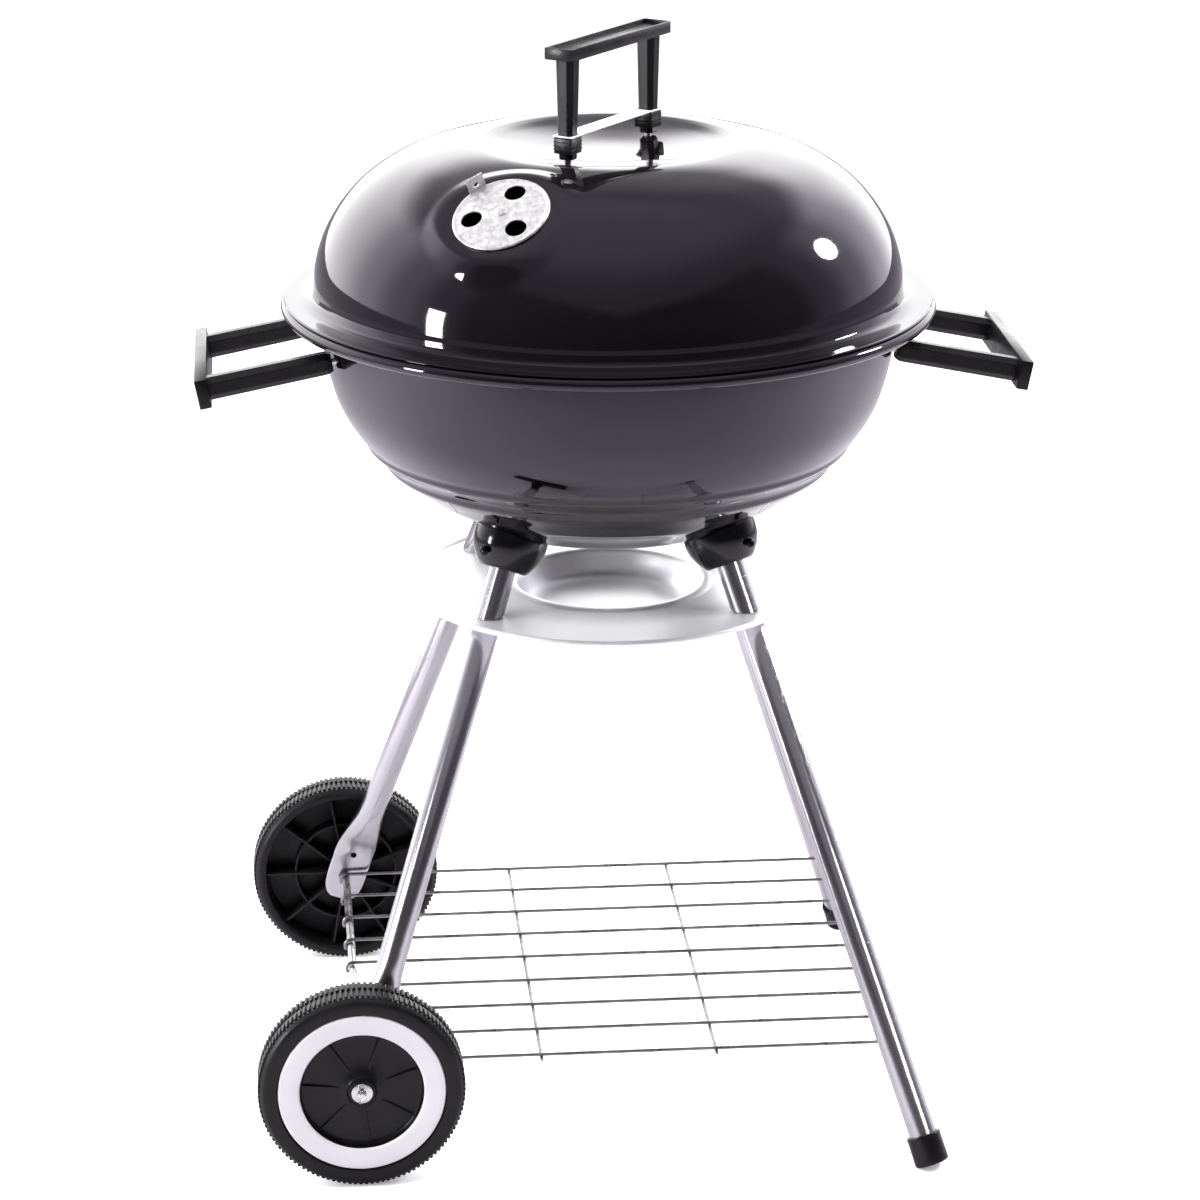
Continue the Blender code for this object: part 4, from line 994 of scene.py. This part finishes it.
def build_tray():
    top = TRAY_Z
    low = TRAY_Z - TRAY_DEPTH
    upper = [(0.0, low), (0.020, low)]
    upper += through([(0.0440, low), (0.0520, low + 0.0007), (0.0580, low + 0.0030), (0.0625, low + 0.0085),
                      (0.0660, low + 0.0150), (0.0680, top + 0.0001), (0.0705, top + 0.0012),
                      (0.0740, top + 0.0010), (0.0785, top)], 4)
    upper += [(0.1100, top), (TRAY_R - 0.0046, top)]
    lower = beside(upper, -TRAY_T)
    lower[0] = (0.0, low - TRAY_T)
    bead = []
    for k in range(15):
        a = math.radians(140.0 - 280.0 * k / 14)
        bead.append((TRAY_R - TRAY_BEAD + TRAY_BEAD * math.cos(a),
                            top - TRAY_T / 2 + TRAY_BEAD * math.sin(a)))
    bm = bmesh.new()
    revolve(bm, upper + bead + list(reversed(lower)), FINE)
    piece("ash_tray_pan", bm, "stand", "ash_tray", "tray_steel")


# ---------------- running gear
def build_wheel(label, end, body):
    """Moulded wheel: dished face with thin ribs, open back with deep ribs, two rows of tread knobs."""
    place = aimed((AXLE_X, end * WHEEL_Y, AXLE_Z), (0, end, 0))
    core = WHEEL_R - 0.0016
    face = through([(0.0112, 0.0118), (0.0140, 0.0103), (0.0200, 0.0088), (0.0300, 0.0080), (0.0400, 0.0080),
                    (0.0426, 0.0090), (0.0434, 0.0110), (0.0436, 0.0132)], 3)
    shoulder = through([(0.0604, 0.0156), (0.0612, 0.0159), (0.0660, 0.0160), (0.0695, 0.0152),
                        (core, 0.0125)], 3)
    inner = through([(core, -0.0125), (0.0695, -0.0152), (0.0675, -0.0160), (0.0650, -0.0158)], 3)
    back = [(0.0640, -0.0150), (0.0628, -0.0080), (0.0618, 0.0050),
            (0.0430, 0.0050), (0.0405, 0.0040), (0.0380, 0.0042),
            (0.0200, 0.0045), (0.0112, 0.0040), (0.0102, -0.0174),
            (0.0094, -0.0179), (AXLE_R + GAP, -0.0179)]
    hub = [(AXLE_R + GAP, 0.0150), (0.0088, 0.0150), (0.0096, 0.0146), (0.0100, 0.0130)]
    bm = bmesh.new()
    seat = [(0.0603, 0.0132)]
    revolve(bm, hub + face + seat + shoulder + inner + back, 128, place)
    for k in range(7):
        turn = place @ Matrix.Rotation(2 * math.pi * k / 7 + 0.35, 4, "Z")
        soft_box(bm, (0.0300, 0.0016, 0.0030), turn @ Matrix.Translation((0.0262, 0.0, 0.0083)), 0.0004, 2)
    for k in range(9):
        turn = place @ Matrix.Rotation(2 * math.pi * k / 9, 4, "Z")
        soft_box(bm, (0.0530, 0.0020, 0.0170), turn @ Matrix.Translation((0.0365, 0.0, -0.0035)), 0.0004, 2)
    ring = [(0.0408, 0.0048), (0.0408, -0.0100), (0.0392, -0.0100), (0.0392, 0.0048)]
    revolve(bm, ring, 96, place)
    for k in range(TREAD_KNOBS):
        for row, lag in ((-1, 0.0), (1, 0.5)):
            a = 2 * math.pi * (k + lag) / TREAD_KNOBS
            turn = place @ Matrix.Rotation(a, 4, "Z")
            height = WHEEL_R * math.cos(math.pi / TREAD_KNOBS * 0.55) - core + 0.0010
            soft_box(bm, (height, 0.0024, 0.0100),
                     turn @ Matrix.Translation((core - 0.0010 + height / 2, 0.0, row * 0.0068)), 0.0004, 1)
    for v in bm.verts:
        v.co.z = max(v.co.z, 0.0)
    piece("wheel_" + label + "_moulding", bm, body, "wheel_" + label, "tyre")
    trim = through([(0.0441, 0.0141), (0.0446, 0.0148), (0.0460, 0.0152), (0.0520, 0.0156), (0.0580, 0.0158),
                    (0.0590, 0.0155), (0.0593, 0.0148)], 3)
    bm = bmesh.new()
    revolve(bm, [(0.0441, 0.0135)] + trim + [(0.0593, 0.0135)], 128, place)
    piece("wheel_band_" + label, bm, body, "wheel_trim_" + label, "trim_white")


def build_axle():
    bm = bmesh.new()
    cylinder(bm, (AXLE_X, -AXLE_HALF, AXLE_Z), (AXLE_X, AXLE_HALF, AXLE_Z), AXLE_R, 40)
    piece("axle_bar", bm, "stand", "axle", "steel")
    for label, end in ENDS:
        inner = WHEEL_Y + 0.0150 + GAP
        bm = bmesh.new()
        disc = [(AXLE_R + 0.0002, 0.0), (AXLE_R + 0.0002, 0.0012), (0.0072, 0.0012), (0.0075, 0.0010),
                (0.0075, 0.0002), (0.0072, 0.0)]
        revolve(bm, disc, 48, aimed((AXLE_X, end * inner, AXLE_Z), (0, end, 0)))
        piece("washer_" + label, bm, "stand", "axle_washer_" + label, "steel")
        y = end * 0.2195
        bm = bmesh.new()
        loop = []
        for k in range(17):
            a = math.radians(-60.0 + 300.0 * k / 16)
            loop.append((AXLE_X + 0.0026 * math.cos(a), y, AXLE_Z + 0.0058 + 0.0026 * math.sin(a)))
        legs = [(AXLE_X + 0.0004, y, AXLE_Z - 0.0060), (AXLE_X + 0.0004, y, AXLE_Z + 0.0030)]
        far = [(AXLE_X - 0.0004, y, AXLE_Z + 0.0030), (AXLE_X - 0.0004, y, AXLE_Z - 0.0050),
               (AXLE_X - 0.0022, y, AXLE_Z - 0.0062)]
        sweep(bm, through(legs + loop + far, 3), 0.0006, 12)
        piece("cotter_" + label, bm, "stand", "split_pin_" + label, "steel")


def hook(centre_x, toward):
    radius = AXLE_R + WIRE_R + GAP
    turns = [math.radians(-40.0 + 130.0 * k / 10) for k in range(11)]
    return [(centre_x + toward * radius * math.cos(a), AXLE_Z + radius * math.sin(a)) for a in turns]


def build_rack():
    bm = bmesh.new()
    for k in range(WIRES):
        y = WIRE_HALF_Y * (2 * k / (WIRES - 1) - 1)
        line = hook(AXLE_X, -1) + list(reversed(hook(ROD_X, 1)))
        sweep(bm, [(x, y, z) for x, z in line], WIRE_R, 12)
    z = WIRE_Z - 2 * WIRE_R + 0.0003
    reach = WIRE_HALF_Y + 0.0040
    for x in (-CROSS_WIRE_X, CROSS_WIRE_X):
        cylinder(bm, (x, -reach, z), (x, reach, z), WIRE_R, 12)
    piece("rack_wires", bm, "stand", "wire_rack", "wire")
    bm = bmesh.new()
    cylinder(bm, (ROD_X, -ROD_HALF, AXLE_Z), (ROD_X, ROD_HALF, AXLE_Z), AXLE_R, 40)
    piece("rod_bar", bm, "stand", "cross_rod", "steel")


# ---------------- the object
def build_all():
    build_bowl()
    build_lid()
    build_dampers()
    build_lid_handle()
    build_strap()
    for label, side in SIDES:
        build_side_handle(label, side)
    build_bolts()
    build_grate("cooking_grid", COOK_R, COOK_Z, 13, "cooking_grate")
    build_grate("charcoal_grid", COAL_R, COAL_Z, 7, "charcoal_grate")
    for side_name, side in SIDES:
        for end_name, end in ENDS:
            label = side_name + "_" + end_name
            build_upper_leg(label, side, end)
            build_socket(label, side, end)
            socket_screw(label, side, end)
            build_lower_leg(label, side, end)
            build_button(label, side, end)
    for label, end in ENDS:
        build_foot_cap(label, end)
    build_tray()
    for label, end in ENDS:
        build_wheel(label, end, "wheel_" + label + "_body")
    build_axle()
    build_rack()
    slots = {row["node"]: row["material_slot"] for row in RECORD["subparts"]}
    for name, node in frame["nodes"].items():
        node.data.materials.clear()
        node.data.materials.append(MATERIALS[slots[name]])


# ---------------- studio
def build_floor():
    """Pale floor; the picture sees it white, the object mirrors it a little darker."""
    bm = bmesh.new()
    revolve(bm, [(0.0, 0.0), (3.0, 0.0), (9.0, 0.0)], 96)
    g = Graph("floor_white")
    broad = g.noise(1.3)
    seen = g.ramp(broad, (0.90, 0.90, 0.905), (0.93, 0.93, 0.935))
    mirrored = g.ramp(broad, (0.385, 0.362, 0.398), (0.41, 0.387, 0.423))
    rays = g.add("ShaderNodeLightPath")
    mix = g.add("ShaderNodeMix", data_type="RGBA")
    g.link(rays.outputs["Is Camera Ray"], mix.inputs["Factor"])
    g.link(mirrored, mix.inputs[6])
    g.link(seen, mix.inputs[7])
    g.link(mix.outputs[2], g.shader.inputs["Base Color"])
    g.link(mix.outputs[2], g.shader.inputs["Emission Color"])
    g.link(g.span(rays.outputs["Is Camera Ray"], 0.0, 0.30, 0.0, 1.0), g.shader.inputs["Emission Strength"])
    g.link(g.span(broad, 0.75, 0.90), g.shader.inputs["Roughness"])
    g.set(Specular_IOR_Level=0.1)
    floor = to_object("studio_floor", bm, g.material)


def build_world():
    """Bright wall behind and beside, darker room in front, as bands of direction."""
    world = bpy.data.worlds.new("studio")
    bpy.context.scene.world = world
    world.use_nodes = True
    tree = world.node_tree
    background = tree.nodes["Background"]
    coords = tree.nodes.new("ShaderNodeTexCoord")
    split = tree.nodes.new("ShaderNodeSeparateXYZ")
    tree.links.new(coords.outputs["Generated"], split.inputs["Vector"])

    def ramp(source, low, high, stops):
        spread = tree.nodes.new("ShaderNodeMapRange")
        spread.inputs["From Min"].default_value = low
        spread.inputs["From Max"].default_value = high
        tree.links.new(source, spread.inputs["Value"])
        node = tree.nodes.new("ShaderNodeValToRGB")
        node.color_ramp.interpolation = "EASE"
        while len(node.color_ramp.elements) < len(stops):
            node.color_ramp.elements.new(0.5)
        for element, (position, color) in zip(node.color_ramp.elements, stops):
            element.position = position
            element.color = (*color, 1.0)
        tree.links.new(spread.outputs["Result"], node.inputs["Fac"])
        return node.outputs["Color"]

    def maths(operation, *values):
        node = tree.nodes.new("ShaderNodeMath")
        node.operation = operation
        for socket, value in zip(node.inputs, values):
            if isinstance(value, float):
                socket.default_value = value
            else:
                tree.links.new(value, socket)
        return node.outputs[0]

    east, north, up = split.outputs
    toward_back = maths("MULTIPLY_ADD", east, -0.14, north)
    above = maths("MULTIPLY_ADD", maths("ABSOLUTE", east), -0.45, up)
    depth = ramp(toward_back, -1.0, 1.0, [
        (0.00, (0.026, 0.023, 0.026)), (0.28, (0.034, 0.030, 0.036)), (0.42, (0.11, 0.10, 0.12)),
        (0.60, (0.30, 0.285, 0.33)), (0.76, (0.62, 0.60, 0.66)), (0.90, (1.0, 1.0, 1.0))])
    crown = ramp(above, 0.0, 1.0, [
        (0.00, (0.0, 0.0, 0.0)), (0.28, (0.0, 0.0, 0.0)),
        (0.46, (0.88, 0.88, 0.88)), (0.75, (1.0, 1.0, 1.0))])
    ceiling = ramp(up, 0.0, 1.0, [
        (0.40, (0.095, 0.088, 0.104)), (0.74, (0.095, 0.088, 0.104)), (0.95, (0.18, 0.17, 0.19))])
    mix = tree.nodes.new("ShaderNodeMix")
    mix.data_type = "RGBA"
    tree.links.new(crown, mix.inputs["Factor"])
    tree.links.new(depth, mix.inputs[6])
    tree.links.new(ceiling, mix.inputs[7])
    lit = tree.nodes.new("ShaderNodeBackground")
    lit.inputs["Strength"].default_value = 3.4
    tree.links.new(mix.outputs[2], lit.inputs["Color"])
    background.inputs["Color"].default_value = (1.0, 1.0, 1.0, 1.0)
    background.inputs["Strength"].default_value = 1.02
    rays = tree.nodes.new("ShaderNodeLightPath")
    choose = tree.nodes.new("ShaderNodeMixShader")
    tree.links.new(rays.outputs["Is Camera Ray"], choose.inputs["Fac"])
    tree.links.new(lit.outputs["Background"], choose.inputs[1])
    tree.links.new(background.outputs["Background"], choose.inputs[2])
    tree.links.new(choose.outputs["Shader"], tree.nodes["World Output"].inputs["Surface"])


def softbox(name, azimuth, elevation, distance, width, height, power, target=(0.0, 0.0, 0.55)):
    """Area light; azimuth 0 is the front (-Y), positive toward +X."""
    data = bpy.data.lights.new(name, "AREA")
    data.shape = "RECTANGLE"
    data.size = width
    data.size_y = height
    data.energy = power
    light = bpy.data.objects.new(name, data)
    a = math.radians(azimuth)
    e = math.radians(elevation)
    direction = Vector((math.sin(a) * math.cos(e), -math.cos(a) * math.cos(e), math.sin(e)))
    light.location = Vector(target) + direction * distance
    light.rotation_euler = (-direction).to_track_quat("-Z", "Y").to_euler()
    bpy.context.scene.collection.objects.link(light)
    light.visible_camera = False
    return light


def build_lights():
    softbox("softbox_left", -71.5, 4.0, 2.4, 0.30, 0.66, 30.0)
    lamp = softbox("lamp_right", 102.5, 29.0, 2.4, 0.42, 0.42, 38.0)
    lamp.data.shape = "DISK"
    top = softbox("overhead", 0.0, 88.0, 2.6, 2.6, 2.6, 95.0)
    top.visible_glossy = False
    for name, side, power in (("floor_left", -1, 62.0), ("floor_right", 1, 40.0)):
        wash = softbox(name, side * 90.0, 80.0, 1.1, 0.7, 2.4, power, target=(side * 1.15, 0.0, 0.0))
        wash.visible_glossy = False
    strip = softbox("strip_right_legs", 42.0, 8.0, 2.4, 0.50, 1.6, 21.0)
    only(strip, "light_right_legs", ("leg_upper_right", "leg_lower_right"))
    strip = softbox("strip_left_legs", -52.0, 8.0, 2.4, 0.45, 1.6, 13.0)
    only(strip, "light_left_legs", ("leg_upper_left", "leg_lower_left"))
    fill = softbox("tray_fill", -118.0, 12.0, 2.4, 1.2, 0.5, 80.0, target=(0.0, 0.0, 0.38))
    only(fill, "light_tray", ("ash_tray_pan",))
    fill.visible_glossy = False


def only(light, label, starts):
    """This light falls only on the pieces whose names start so."""
    group = bpy.data.collections.new(label)
    for obj in bpy.context.scene.objects:
        if obj.type == "MESH" and "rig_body" in obj and obj.name.startswith(starts):
            group.objects.link(obj)
    light.light_linking.receiver_collection = group


def build_camera():
    data = bpy.data.cameras.new("camera")
    data.sensor_width = 36.0
    data.lens = CAMERA_LENS
    data.shift_x = 0.00825
    data.shift_y = -0.0016
    data.dof.use_dof = False
    camera = bpy.data.objects.new("camera", data)
    camera.location = CAMERA_AT
    camera.rotation_euler = (CAMERA_TILT, 0.0, CAMERA_TURN)
    bpy.context.scene.collection.objects.link(camera)
    bpy.context.scene.camera = camera


build_all()
build_floor()
build_world()
build_lights()
build_camera()
bpy.context.scene.view_settings.view_transform = "Standard"
bpy.context.scene.view_settings.look = "None"
